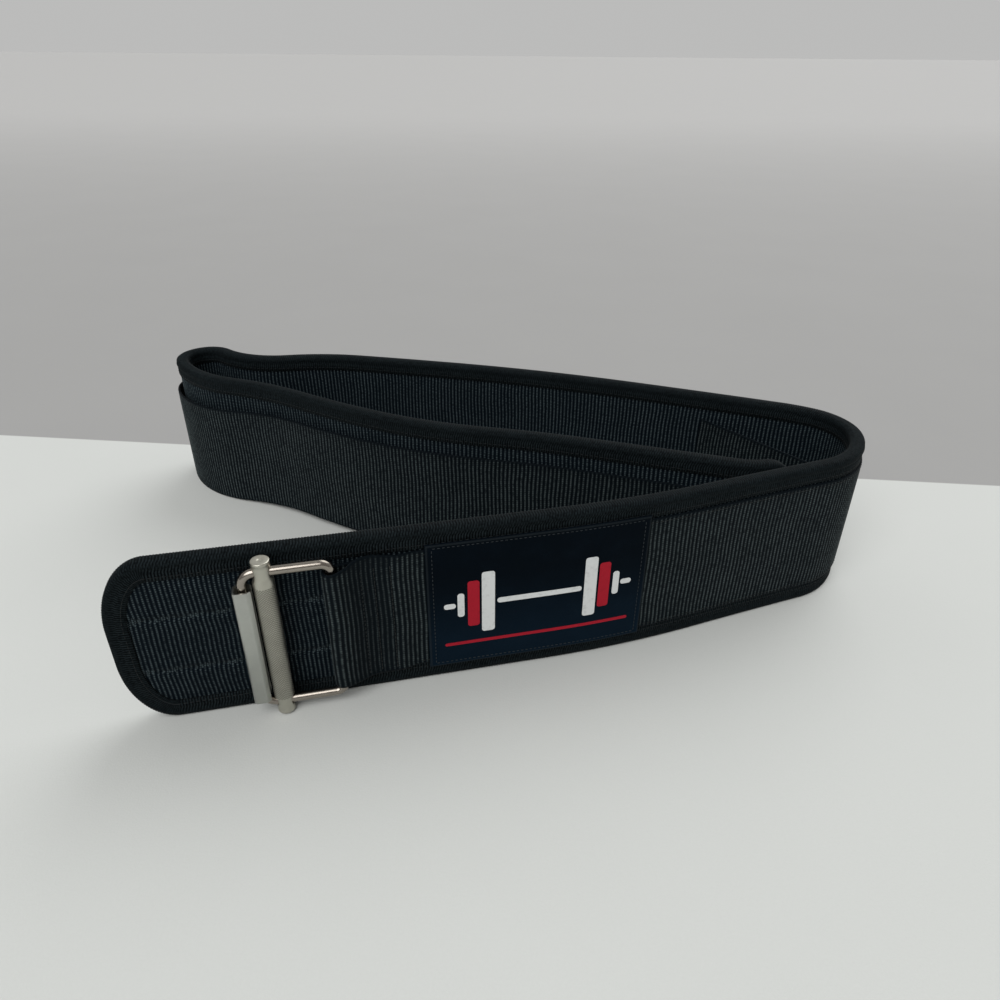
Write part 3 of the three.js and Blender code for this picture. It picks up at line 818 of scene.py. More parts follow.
def binding_outline(spacing):
    """The band's outline, flat, in even steps: distance, height and the direction into the band."""
    from_end, cut, inward = round_corner()
    straight = np.linspace(CORNER_LENGTH, BAND_LENGTH - CORNER_LENGTH, 1500)
    up = np.tile([0.0, 1.0], (len(straight), 1))
    down = -up
    mirrored = inward * [-1, 1]
    parts = [
        (straight, np.zeros_like(straight), up),
        (BAND_LENGTH - from_end, cut, mirrored),
        ((BAND_LENGTH - from_end)[::-1], (BAND_HEIGHT - cut)[::-1], (mirrored * [1, -1])[::-1]),
        (straight[::-1], np.full_like(straight, BAND_HEIGHT), down),
        (from_end, BAND_HEIGHT - cut, inward * [1, -1]),
        (from_end[::-1], cut[::-1], inward[::-1]),
    ]
    flat = np.concatenate([np.column_stack(part) for part in parts])
    flat = np.vstack([flat, flat[:1]])
    travelled = np.concatenate([[0], np.cumsum(np.linalg.norm(np.diff(flat[:, :2], axis=0), axis=1))])
    steps = TAPE_COLUMNS * round(travelled[-1] / spacing / TAPE_COLUMNS)
    wanted = np.arange(steps) * travelled[-1] / steps
    even = np.stack([np.interp(wanted, travelled, flat[:, k]) for k in range(4)], axis=-1)
    inward = even[:, 2:] / np.linalg.norm(even[:, 2:], axis=1, keepdims=True)
    return even[:, 0], even[:, 1], inward, travelled[-1]


def make_binding(settings):
    distance, height, inward, round_length = binding_outline(settings.rib_pitch / TAPE_COLUMNS)
    half = np.array(BINDING_PROFILE) * MM
    outer_side = np.vstack([half, (half * [1, -1])[::-1]])
    profile = np.vstack([outer_side, (BINDING_WALL, -BINDING_INSIDE), (BINDING_WALL, BINDING_INSIDE)])
    step = np.roll(profile, -1, axis=0) - np.roll(profile, 1, axis=0)
    normal = np.stack([step[:, 1], -step[:, 0]], axis=-1)
    normal /= np.linalg.norm(normal, axis=1, keepdims=True)
    if normal[4, 1] < 0:
        normal = -normal
    across = np.concatenate([[0], np.cumsum(np.linalg.norm(np.diff(profile, axis=0), axis=1))])
    turns = np.arange(len(distance))[:, None] / TAPE_COLUMNS + TAPE_SLANT * across[None] / settings.rib_pitch
    relief = np.cos(2 * np.pi * turns)
    moves = np.ones(len(profile))
    moves[[0, len(outer_side) - 1, -2, -1]] = 0
    lift = relief * settings.rib_rise * moves[None]
    depth = profile[None, :, 0] + lift * normal[None, :, 0]
    outward = profile[None, :, 1] + lift * normal[None, :, 1]
    at = distance[:, None] + depth * inward[:, None, 0]
    up = np.maximum(height[:, None] + depth * inward[:, None, 1], 0)
    sections = bend(at, outward, up)
    flat = np.stack(np.broadcast_arrays(at, up, outward), axis=-1)
    attributes = {"flat": flat.reshape(-1, 3), "rib": relief}
    tape = tube_of("binding_tape", sections, True, attributes)
    finish = tape_finish("ribbed_tape", settings.tape, settings.rib_highlight)
    finish_piece(tape, finish, "belt", "edge_binding")

    spaced, spaced_height, spaced_inward, _ = binding_outline(settings.stitch_pitch)
    at = spaced + STITCH_DEPTH * spaced_inward[:, 0]
    up = spaced_height + STITCH_DEPTH * spaced_inward[:, 1]
    ahead, away = sides(at)
    onward = -spaced_inward[:, 1:] * ahead + np.array([0, 0, 1]) * spaced_inward[:, :1]
    centres = [bend(at, side * BINDING_THREAD_OUT, up) for side in (1, -1)]
    stitch = BINDING_STITCH_SHARE * settings.stitch_pitch
    made = stitches("binding_stitches", centres, [onward, onward], [away, -away], stitch, BINDING_THREAD)
    finish_piece(made, thread_finish("binding_thread", settings.thread), "belt")


# Strap

FOLD_STEPS = 40
WIDENS_FROM = 1.5 * MM
WIDENS_TO = 8 * MM
# Behind the fold the strap's top edge stands higher, beginning where the swinging wire is clear of it.
CORNER_LIFT = 2.6 * MM
LIFT_RISES = (7 * MM, 13 * MM)
LIFT_FADES = (18 * MM, 38 * MM)
LAID_STEP = 2 * MM
TAIL_STEP = 1.5 * MM
LINE_STEP = 0.5 * MM
SMOOTHING_REACH = 6
SMOOTHING_WIDTH = 2.4


def fold_line():
    """The strap's fold round the rear bar, seen from above in flat values: two straight layers that meet on
    the band and touch the round of the fold."""
    radius = WIRE_DIAMETER / 2 + FOLD_CLEARANCE + STRAP_THICKNESS / 2
    centre = np.array([BAR_FROM_TIP, BUCKLE_OFFSET])
    upper_offset = SEWN_OFFSET + STRAP_THICKNESS + LAYER_GAP
    meets = BAR_FROM_TIP + LAYERS_MEET
    ends = BAR_FROM_TIP + UNDER_LAYER

    def tangent(outward, side):
        junction = np.array([meets, outward])
        to_centre = centre - junction
        away = np.linalg.norm(to_centre)
        heading = math.atan2(to_centre[1], to_centre[0]) - side * math.asin(radius / away)
        direction = np.array([math.cos(heading), math.sin(heading)])
        return junction + direction * math.sqrt(away**2 - radius**2), junction + direction * LAYER_SOFTENING

    under_touch, under_near = tangent(SEWN_OFFSET, -1)
    upper_touch, upper_near = tangent(upper_offset, 1)
    touches = (under_touch, upper_touch)
    first, last = (math.atan2(*(touch - centre)[::-1]) % (2 * math.pi) for touch in touches)
    angle = np.linspace(first, last, FOLD_STEPS)
    turn = centre + radius * np.stack([np.cos(angle), np.sin(angle)], axis=-1)
    return np.vstack([
        (ends, SEWN_OFFSET), (meets + LAYER_SOFTENING, SEWN_OFFSET), under_near, turn,
        np.linspace(upper_touch, upper_near, FOLD_STEPS),
        (meets + LAYER_SOFTENING, upper_offset), (ends + STRAP_THICKNESS, upper_offset),
        (ends + STEP_DOWN, SEWN_OFFSET),
    ])


def ride(distance, shares):
    """A value of the ride table at a distance, eased between its rows."""
    at = distance / BAND_LENGTH
    row = np.clip(np.searchsorted(RIDE_AT, at, side="right") - 1, 0, len(RIDE_AT) - 2)
    places_, values = np.array(RIDE_AT, float), np.array(shares, float)
    blend = smoothstep(at, places_[row], places_[row + 1])
    return values[row] + (values[row + 1] - values[row]) * blend


def free_tail(start, facing):
    """The free tail curls round inside the right bend and runs back until its tip is clear of the rear."""
    curl = TAIL_CURL_RADIUS * math.radians(TAIL_CURL_TURN)
    rows = [(TAIL_LEAVES, 0), (curl, TAIL_CURL_TURN), (TAIL_LONGEST, 0)]
    curl_end = TAIL_LEAVES + curl
    whole = PlanPath(start, facing, curl_end + TAIL_LONGEST, rows)
    rear = middle_points(band, REAR_STRETCH)
    wanted = BAND_HALF + STRAP_THICKNESS / 2 + TIP_GAP
    reach = curl_end
    while reach < whole.length and nearest(whole.at([reach])[0], rear) > wanted:
        reach += STRAP_THICKNESS / 4
    return whole, reach, curl_end


def strap_route():
    """The strap's middle line in plan in even steps, the heights of its edges and the length travelled."""
    sewn_low = (BAND_HEIGHT - STRAP_WIDTH) / 2
    fold_low = (BAND_HEIGHT - FOLD_WIDTH) / 2
    fold = fold_line()
    above = np.arange(len(fold)) > FOLD_STEPS / 2
    widened = above * smoothstep(fold[:, 0] - BAR_FROM_TIP, WIDENS_FROM, WIDENS_TO)
    low = fold_low + widened * (sewn_low - fold_low)
    from_bar = fold[:, 0] - BAR_FROM_TIP
    lifted = above * smoothstep(from_bar, *LIFT_RISES) * (1 - smoothstep(from_bar, *LIFT_FADES))
    high = BAND_HEIGHT - low + CORNER_LIFT * lifted
    rows = [np.column_stack([band.plan(fold[:, 0], fold[:, 1]), low, high])]

    laid = np.arange(BAR_FROM_TIP + UNDER_LAYER + STEP_DOWN + LAID_STEP, BAND_LENGTH, LAID_STEP)
    outward = ride(laid, RIDE_OUTWARD)
    over = SEWN_OFFSET + (OVER_OFFSET - SEWN_OFFSET) * np.minimum(outward, 1)
    offset = over + np.maximum(outward - 1, 0) * STRAP_THICKNESS
    low = ride(laid, RIDE_LOW) * sewn_low
    rows.append(np.column_stack([band.plan(laid, offset), low, low + STRAP_WIDTH]))

    tail, reach, curl_end = free_tail(rows[-1][-1, :2], band.at(BAND_LENGTH)[1])
    along = np.arange(LAID_STEP, reach, TAIL_STEP)
    low = TAIL_RISE * smoothstep(along, 0, curl_end)
    rows.append(np.column_stack([tail.at(along)[0], low, low + STRAP_WIDTH]))

    line = np.vstack(rows)
    travelled = np.concatenate([[0], np.cumsum(np.linalg.norm(np.diff(line[:, :2], axis=0), axis=1))])
    even = np.arange(0, travelled[-1], LINE_STEP)
    line = np.stack([np.interp(even, travelled, line[:, k]) for k in range(4)], axis=-1)
    weights = np.exp(-0.5 * (np.arange(-SMOOTHING_REACH, SMOOTHING_REACH + 1) / SMOOTHING_WIDTH) ** 2)
    weights /= weights.sum()
    before, after = (np.repeat(end, SMOOTHING_REACH, axis=0) for end in (line[:1], line[-1:]))
    padded = np.vstack([before, line, after])
    inner = np.stack([np.convolve(padded[:, k], weights, mode="valid") for k in range(4)], axis=-1)
    inner[0], inner[-1] = line[0], line[-1]
    travelled = np.concatenate([[0], np.cumsum(np.linalg.norm(np.diff(inner[:, :2], axis=0), axis=1))])
    return inner, travelled


STRAP_SHARES = (0.0, 0.004, 0.013, 0.022, *(k / 10 for k in range(1, 10)), 0.978, 0.987, 0.996, 1.0)
STRAP_HALVES = (0.2, 0.62, 0.78, 0.7, *[0.76] * 9, 0.7, 0.78, 0.62, 0.2)
STRAP_RIBBED = (0, 0.1, 0.35, 0.8, *[1] * 9, 0.8, 0.35, 0.1, 0)
# How much painted shade darkens the strap's selvages, standing for the shadowed gap along its edge.
SELVAGE_PAINTED_SHADE = 0.75
SEWN_SHARE = 0.4
TACKED_FROM = (50 * MM, 56 * MM)
TACKED_TO = (72 * MM, 82 * MM)


def make_strap(settings):
    line, travelled = strap_route()
    total = travelled[-1]
    stations, relief = ribbed(0, total, settings.rib_pitch)
    tacked = smoothstep(stations, *TACKED_FROM) * (1 - smoothstep(stations, *TACKED_TO))
    relief = relief * (1 - 0.5 * tacked) - 0.35 * tacked
    middle = np.stack([np.interp(stations, travelled, line[:, k]) for k in range(4)], axis=-1)
    tangent = np.gradient(line[:, :2], axis=0)
    tangent = np.stack([np.interp(stations, travelled, tangent[:, k]) for k in range(2)], axis=-1)
    tangent /= np.linalg.norm(tangent, axis=1, keepdims=True)
    across = np.stack([tangent[:, 1], -tangent[:, 0]], axis=-1)
    share = np.array(STRAP_SHARES)[None]
    height = middle[:, 2:3] + share * (middle[:, 3:4] - middle[:, 2:3])
    ribs = np.array(STRAP_RIBBED)[None]
    half = np.array(STRAP_HALVES)[None] * MM + relief[:, None] * settings.rib_rise * ribs
    # The rib attribute carries the rib relief, with painted shade on the selvages.
    tone = relief[:, None] * ribs - SELVAGE_PAINTED_SHADE * (1 - ribs)
    sway = rib_sway(stations[:, None], height) * ribs
    plan = middle[:, None, :2] + tangent[:, None] * sway[..., None]
    there = place(plan + across[:, None] * half[..., None], height)
    back = place(plan - across[:, None] * half[..., None], height)[:, ::-1]
    sections = np.concatenate([there, back], axis=1)
    flat = np.stack(np.broadcast_arrays(stations[:, None], height, half), axis=-1)
    attributes = {
        "flat": np.concatenate([flat, flat[:, ::-1]], axis=1).reshape(-1, 3),
        "rib": np.concatenate([tone, tone[:, ::-1]], axis=1).ravel(),
        "row": np.repeat(rib_row(stations), 2 * len(STRAP_SHARES)),
    }
    webbing = tube_of("webbing_strap", sections, False, attributes)
    finish = webbing_finish("heavy_webbing", settings.webbing, settings.rib_highlight, settings.yarn_pitch)
    finish_piece(webbing, finish, "belt", "strap")

    sewn = make_strap_stitches(settings)


SEAM_FROM_EDGE = 2.6 * MM
BAR_TACKS = (127.5 * MM, 131 * MM, 134.5 * MM, 143 * MM)
TACK_PITCH = 2.6 * MM
TACK_INSET = 3 * MM
FOLD_SLOPE = 0.42
STRAP_STITCH_PITCH = 3.0 * MM
STRAP_STITCH = 2.1 * MM
STRAP_THREAD = 0.3 * MM


def make_strap_stitches(settings):
    """The seams along both edges where the strap is sewn on, and the upright rows behind its fold."""
    first = BAR_FROM_TIP + UNDER_LAYER + STEP_DOWN + TACK_INSET
    at = np.arange(first, SEWN_SHARE * BAND_LENGTH, STRAP_STITCH_PITCH)
    ahead, away = sides(at)
    surface = SEWN_OFFSET + 0.8 * MM
    low = (BAND_HEIGHT - STRAP_WIDTH) / 2 + SEAM_FROM_EDGE
    centres = [bend(at, surface, low), bend(at, surface, BAND_HEIGHT - low)]
    along, outward = [ahead, ahead], [away, away]
    upper = SEWN_OFFSET + STRAP_THICKNESS + LAYER_GAP + 0.85 * MM
    rise = np.arange(
        (BAND_HEIGHT - FOLD_WIDTH) / 2 + TACK_INSET, (BAND_HEIGHT + FOLD_WIDTH) / 2 - TACK_INSET, TACK_PITCH
    )
    for row in BAR_TACKS:
        here = np.full_like(rise, row)
        fold_slope = max(0.0, (BAR_FROM_TIP + LAYERS_MEET - row) * FOLD_SLOPE)
        centres.append(bend(here, upper + fold_slope, rise))
        _, away = sides(here)
        along.append(np.tile([0.0, 0.0, 1.0], (len(rise), 1)))
        outward.append(away)
    made = stitches("strap_stitches", centres, along, outward, STRAP_STITCH, STRAP_THREAD)
    finish = thread_finish("strap_thread", shade(settings.rib_highlight, 0.12))
    return finish_piece(made, finish, "belt")


# Patch

PATCH_FROM = BAR_FROM_TIP + 48.5 * MM
PATCH_LENGTH = 127 * MM
PATCH_HEIGHT = STRAP_WIDTH + 2 * 2.8 * MM
PATCH_LOW = (BAND_HEIGHT - PATCH_HEIGHT) / 2 + 0.9 * MM
PATCH_INNER = SEWN_OFFSET + STRAP_THICKNESS / 2 + LAYER_GAP
PATCH_THICKNESS = 1.2 * MM
RIM_WIDTH = 1.3 * MM
# Where the painted highlight along the label's rim starts and ends, by the distance from its edge.
RIM_HIGHLIGHT_SHOWS = (0.0, 0.5 * MM)
RIM_HIGHLIGHT_ENDS = (0.9 * MM, 1.5 * MM)
PATCH_SPACING = 1.6 * MM
PATCH_STITCH = 1.7 * MM
PATCH_THREAD = 0.26 * MM
EDGE_STEPS = (0.0, 0.12, 0.4, 0.9, 1.3, 1.7, 2.1, 2.6, 3.2)


def rim_profile(from_edge, rim_rise):
    """How far the label's face stands above its plain level, by the distance from its edge."""
    rounded = -0.5 * MM * np.clip(1 - from_edge / (0.45 * MM), 0, 1) ** 2
    falls = smoothstep(from_edge, RIM_WIDTH, RIM_WIDTH + 0.6 * MM)
    rim = rim_rise * smoothstep(from_edge, 0, 0.5 * MM) * (1 - falls)
    return rounded + rim


def fine_edges(size, spacing):
    """Stations over a length that are close together near both of its ends."""
    near = np.array(EDGE_STEPS) * MM
    middle = np.linspace(near[-1], size - near[-1], max(2, round((size - 2 * near[-1]) / spacing)))
    return np.concatenate([near[:-1], middle, (size - near[:-1])[::-1]])


def make_patch(settings):
    along = fine_edges(PATCH_LENGTH, PATCH_SPACING)[:, None]
    up = fine_edges(PATCH_HEIGHT, PATCH_SPACING)[None]
    from_edge = np.minimum(np.minimum(along, PATCH_LENGTH - along), np.minimum(up, PATCH_HEIGHT - up))
    waves = 0.05 * MM * np.sin(along / (7 * MM)) * np.sin(up / (9 * MM) + 1)
    top = PATCH_INNER + PATCH_THICKNESS - 0.1 * MM + rim_profile(from_edge, settings.rim_rise) + waves
    distance = PATCH_FROM + along + 0 * up
    height = PATCH_LOW + up + 0 * along
    front = bend(distance, top, height)
    rear = bend(distance, PATCH_INNER, height)
    columns, rows = front.shape[:2]
    face = quads(columns, rows)
    count = columns * rows
    grid = np.arange(count).reshape(columns, rows)
    rim = np.concatenate([grid[:, 0], grid[-1, 1:], grid[-2::-1, -1], grid[0, -2:0:-1]])
    after = np.roll(rim, -1)
    wall = np.stack([rim, after, after + count, rim + count], axis=-1)
    points = np.concatenate([front.reshape(-1, 3), rear.reshape(-1, 3)])
    faces = turned_outward(points, np.concatenate([face[:, ::-1], face + count, wall[:, ::-1]]))
    flat = np.stack([distance, height, top], axis=-1).reshape(-1, 3)
    # A painted highlight along the label's rim.
    rim_highlight = (smoothstep(from_edge, *RIM_HIGHLIGHT_SHOWS) * (1 - smoothstep(from_edge, *RIM_HIGHLIGHT_ENDS))).ravel()
    attributes = {"flat": np.concatenate([flat, flat]), "rim": np.concatenate([rim_highlight, rim_highlight])}
    label = build("label_patch", points, faces, (), attributes, sharp=60)
    finish = leather_finish("label_leather", settings.leather, settings.thread)
    finish_piece(label, finish, "belt", "patch")
    seam = make_patch_stitches(settings)
    prints = make_print(settings)


def make_patch_stitches(settings):
    """One seam round the label, nearer its long edges than its ends."""
    side_inset, edge_inset = 3.5 * MM, 2.4 * MM
    left, right = PATCH_FROM + side_inset, PATCH_FROM + PATCH_LENGTH - side_inset
    low, high = PATCH_LOW + edge_inset, PATCH_LOW + PATCH_HEIGHT - edge_inset
    pitch = settings.stitch_pitch
    run = np.arange(left + pitch / 2, right, pitch)
    rise = np.arange(low + pitch / 2, high, pitch)
    surface = PATCH_INNER + PATCH_THICKNESS - 0.08 * MM
    centres, along, outward = [], [], []
    for level in (low, high):
        ahead, away = sides(run)
        centres.append(bend(run, surface, level))
        along.append(ahead)
        outward.append(away)
    for end in (left, right):
        here = np.full_like(rise, end)
        centres.append(bend(here, surface, rise))
        along.append(np.tile([0.0, 0.0, 1.0], (len(rise), 1)))
        outward.append(sides(here)[1])
    made = stitches("patch_stitches", centres, along, outward, PATCH_STITCH, PATCH_THREAD)
    return finish_piece(made, thread_finish("patch_thread", settings.thread), "belt")


# The print is a plain barbell seen from the side: for each plate its middle from the barbell's middle, its
# width and its height.
PALE_PLATES = ((29.6, 7.4, 41), (45.0, 3.8, 16), (51.2, 6.6, 3.4))
RED_PLATES = ((37.9, 6.6, 31),)
BAR_LENGTH = 49 * MM
BAR_THICKNESS = 3.4 * MM
UNDERLINE_LENGTH = 109 * MM
UNDERLINE_DROP = 27 * MM
UNDERLINE_THICKNESS = 2.0 * MM
PLATE_CORNER = 1.6 * MM
PRINT_RAISE = 0.07 * MM


def rounded_bar(centre, width, height, corner):
    """Columns of a rounded rectangle: places along it, and the lower and upper edge at each."""
    corner = min(corner, width / 2, height / 2)
    angle = np.linspace(0, np.pi / 2, 7)
    left = -width / 2 + corner * (1 - np.cos(angle))
    reach = height / 2 - corner * (1 - np.sin(angle))
    inner = np.arange(left[-1] + 1.5 * MM, -left[-1] - 0.5 * MM, 1.5 * MM)
    at = np.concatenate([left, inner, -left[::-1]])
    reach = np.concatenate([reach, np.full_like(inner, height / 2), reach[::-1]])
    return at + centre, -reach, reach


def print_shape(shapes, name, finish):
    """Thin raised shapes on the label, joined into one mesh."""
    points, faces, caps, flats = [], [], [], []
    start = 0
    base = PATCH_INNER + PATCH_THICKNESS - 0.12 * MM
    top = base + 0.12 * MM + PRINT_RAISE
    for (at, low, high), level in shapes:
        distance = PATCH_FROM + PATCH_LENGTH / 2 + at
        middle = PATCH_LOW + PATCH_HEIGHT / 2 + level
        loop = [(top, low), (top, high), (base, high), (base, low)]
        section = np.stack([bend(distance, out, middle + edge) for out, edge in loop], axis=1)
        corners = [np.stack([distance, middle + edge, np.full_like(at, out)], axis=-1) for out, edge in loop]
        flat = np.stack(corners, axis=1)
        own = section.reshape(-1, 3)
        loop_faces = turned_outward(own - own.mean(axis=0), quads(len(at), 4, wrap_rows=True))
        points.append(own)
        flats.append(flat.reshape(-1, 3))
        faces.append(loop_faces + start)
        last = start + len(own) - 4
        caps += [[start + 3, start + 2, start + 1, start], [last, last + 1, last + 2, last + 3]]
        start += len(own)
    attributes = {"flat": np.concatenate(flats)}
    made = build(name, np.concatenate(points), np.concatenate(faces), caps, attributes, sharp=40)
    return finish_piece(made, finish, "belt")


def make_print(settings):
    def plates(rows):
        return [
            (rounded_bar(side * middle * MM, width * MM, height * MM, PLATE_CORNER), 0.0)
            for middle, width, height in rows
            for side in (-1, 1)
        ]

    bar = (rounded_bar(0, BAR_LENGTH, BAR_THICKNESS, PLATE_CORNER), 0.0)
    underline = (rounded_bar(0, UNDERLINE_LENGTH, UNDERLINE_THICKNESS, PLATE_CORNER), -UNDERLINE_DROP)
    pale = print_shape([bar, *plates(PALE_PLATES)], "print_pale", print_finish("pale_print", settings.pale))
    red_finish = print_finish("red_print", settings.accent)
    red = print_shape([underline, *plates(RED_PLATES)], "print_red", red_finish)
    return pale, red


# Buckle, in the flap's own frame: x runs along the flap, y inward and z up from the band's middle height

FRAME_LENGTH = 43 * MM
FRAME_HEIGHT = BAND_HEIGHT - 2 * 7.95 * MM
FRONT_CORNER = 7 * MM
REAR_CORNER = 4.6 * MM
ROLLER_FROM_SLEEVE = 10.6 * MM
SLEEVE_SHIFT = 0.4 * MM
SLEEVE_FROM_FOOT = 3 * MM
SLEEVE_FROM_TOP = 9 * MM
SLEEVE_LENGTH = FRAME_HEIGHT - SLEEVE_FROM_TOP - SLEEVE_FROM_FOOT
WIRE_SIDES = 28
WIRE_CORNER_STEPS = 20


def buckle_place(points, from_tip):
    """Moves points of the buckle's own frame, about a place on its plane, into the row frame."""
    return bend(from_tip + points[..., 0], BUCKLE_OFFSET - points[..., 1], BAND_HEIGHT / 2 + points[..., 2])


def make_wire(settings):
    half_x, half_z = FRAME_LENGTH / 2, FRAME_HEIGHT / 2
    corners = ((1, 1, REAR_CORNER), (-1, 1, FRONT_CORNER), (-1, -1, FRONT_CORNER), (1, -1, REAR_CORNER))
    sections = []
    for quarter, (side, up, corner) in enumerate(corners):
        x, z = side * (half_x - corner), up * (half_z - corner)
        for step in range(WIRE_CORNER_STEPS + 1):
            angle = (quarter + step / WIRE_CORNER_STEPS) * np.pi / 2
            around = np.arange(WIRE_SIDES) * 2 * np.pi / WIRE_SIDES
            reach = corner + WIRE_DIAMETER / 2 * np.cos(around)
            y = WIRE_DIAMETER / 2 * np.sin(around)
            sections.append(np.stack([x + reach * math.cos(angle), y, z + reach * math.sin(angle)], axis=-1))
    points = buckle_place(np.stack(sections), BAR_FROM_TIP - FRAME_LENGTH / 2)
    wire = tube_of("wire_loop", points, True)
    finish = metal_finish("polished_nickel", settings.wire, 0.16, 0.4 * MM, 0.06)
    return finish_piece(wire, finish, "buckle", "buckle_frame")


SLEEVE_HALF = 4.45 * MM
SLEEVE_WALL = 0.9 * MM
SLEEVE_SLOT = WIRE_DIAMETER / 2 + LAYER_GAP
LIP_BEVEL = 2.0 * MM
BACK_BEVEL = 1.2 * MM
BEND_ROUND = 0.55 * MM
SLEEVE_END_BEVEL = 0.25 * MM


def rounded_line(corners, radius, steps=5):
    """A line through corners with each of them rounded."""
    corners = np.array(corners, float)
    line = [corners[0]]
    for before, corner, after in zip(corners[:-2], corners[1:-1], corners[2:]):
        back, on = before - corner, after - corner
        cut = min(radius, 0.45 * np.linalg.norm(back), 0.45 * np.linalg.norm(on))
        start = corner + back / np.linalg.norm(back) * cut
        end = corner + on / np.linalg.norm(on) * cut
        for t in np.linspace(0, 1, steps):
            line.append((1 - t) ** 2 * start + 2 * t * (1 - t) * corner + t**2 * end)
    line.append(corners[-1])
    return np.array(line)


def sleeve_side(half):
    """The bent sheet's outline from one lip of the slot round to the other, seen from above."""
    upper = [
        (half, SLEEVE_SLOT), (half - LIP_BEVEL, half), (-half + BACK_BEVEL, half), (-half, half - BACK_BEVEL),
    ]
    return upper + [(x, -y) for x, y in reversed(upper)]


def make_sleeve(settings):
    outer = rounded_line(sleeve_side(SLEEVE_HALF), BEND_ROUND)
    inner = rounded_line(sleeve_side(SLEEVE_HALF - SLEEVE_WALL), BEND_ROUND / 2)
    centre_line = (outer + inner) / 2
    outline = np.concatenate([outer, inner[::-1]])
    middle = np.concatenate([centre_line, centre_line[::-1]])
    foot = -FRAME_HEIGHT / 2 + SLEEVE_FROM_FOOT
    levels = (
        (foot, 0.72), (foot + SLEEVE_END_BEVEL, 1.0), (foot + SLEEVE_LENGTH / 2, 1.0),
        (foot + SLEEVE_LENGTH - SLEEVE_END_BEVEL, 1.0), (foot + SLEEVE_LENGTH, 0.72),
    )
    sections = []
    for level, share in levels:
        ring = middle + (outline - middle) * share
        sections.append(np.column_stack([ring, np.full(len(ring), level)]))
    points = buckle_place(np.stack(sections), BAR_FROM_TIP - FRAME_LENGTH - SLEEVE_SHIFT)
    sleeve = tube_of("bent_sleeve", points, False, sharp=50)
    finish = metal_finish("satin_nickel", settings.satin, 0.27, 0.5 * MM, 0.12)
    return finish_piece(sleeve, finish, "buckle", "buckle_sleeve")


ROLLER_HALF = FRAME_HEIGHT / 2 + 6.95 * MM
HEAD_RADIUS = 4.7 * MM
NECK_RADIUS = 4.45 * MM
KNURL_RADIUS = 5.4 * MM
HEAD_HEIGHT = 1.6 * MM
HEAD_FLARE = 2 * MM
TOP_NECK = 6.4 * MM
BOTTOM_NECK = 5.2 * MM
SHOULDER = 2.4 * MM
SMOOTH_BAND = 2.3 * MM
MARK_GROOVE = 0.25 * MM
FLARE_EASING = 3.2 * MM
PUNCH_RADIUS = 1.5 * MM
PUNCH_DEPTH = 0.3 * MM
WIRE_CLEARANCE = 0.3 * MM
KNURL_STEPS = 6


def roller_profile(knurl_pitch):
    """Radius, height and share of knurling for each ring of the roller, from its foot to its head."""
    neck_from = ROLLER_HALF - HEAD_HEIGHT - HEAD_FLARE
    top_shoulder = neck_from - TOP_NECK
    bottom_shoulder = -neck_from + BOTTOM_NECK
    knurl_low = bottom_shoulder + SHOULDER
    knurl_high = top_shoulder - SHOULDER - SMOOTH_BAND
    steps = round((knurl_high - knurl_low) / knurl_pitch) * KNURL_STEPS

    def end(sign):
        rows = [
            (0.0, ROLLER_HALF - PUNCH_DEPTH), (PUNCH_RADIUS * 0.6, ROLLER_HALF - PUNCH_DEPTH * 0.8),
            (PUNCH_RADIUS, ROLLER_HALF - 0.05 * MM), (PUNCH_RADIUS * 1.25, ROLLER_HALF),
            (HEAD_RADIUS - 0.6 * MM, ROLLER_HALF), (HEAD_RADIUS - 0.18 * MM, ROLLER_HALF - 0.12 * MM),
            (HEAD_RADIUS, ROLLER_HALF - 0.5 * MM), (HEAD_RADIUS, ROLLER_HALF - HEAD_HEIGHT),
            (HEAD_RADIUS - 0.12 * MM, ROLLER_HALF - HEAD_HEIGHT - 0.15 * MM),
            (NECK_RADIUS + 0.2 * MM, neck_from), (NECK_RADIUS, neck_from - FLARE_EASING),
        ]
        return [(radius, sign * level, 0.0) for radius, level in rows]

    knurled = [(KNURL_RADIUS, z, 1.0) for z in np.linspace(knurl_low, knurl_high, steps + 1)]
    above = [
        (KNURL_RADIUS - MARK_GROOVE, knurl_high + 0.12 * MM, 0.0),
        (KNURL_RADIUS - MARK_GROOVE, knurl_high + 0.3 * MM, 0.0),
        (KNURL_RADIUS, knurl_high + 0.42 * MM, 0.0), (KNURL_RADIUS, knurl_high + SMOOTH_BAND, 0.0),
        (NECK_RADIUS + 0.05 * MM, top_shoulder - 0.05 * MM, 0.0), (NECK_RADIUS, top_shoulder + 0.2 * MM, 0.0),
    ]
    below = [
        (NECK_RADIUS, bottom_shoulder - 0.2 * MM, 0.0),
        (NECK_RADIUS + 0.05 * MM, bottom_shoulder + 0.05 * MM, 0.0),
        (KNURL_RADIUS - 0.1 * MM, knurl_low - 0.15 * MM, 0.0),
    ]
    return end(-1) + below + knurled + above + end(1)[::-1]


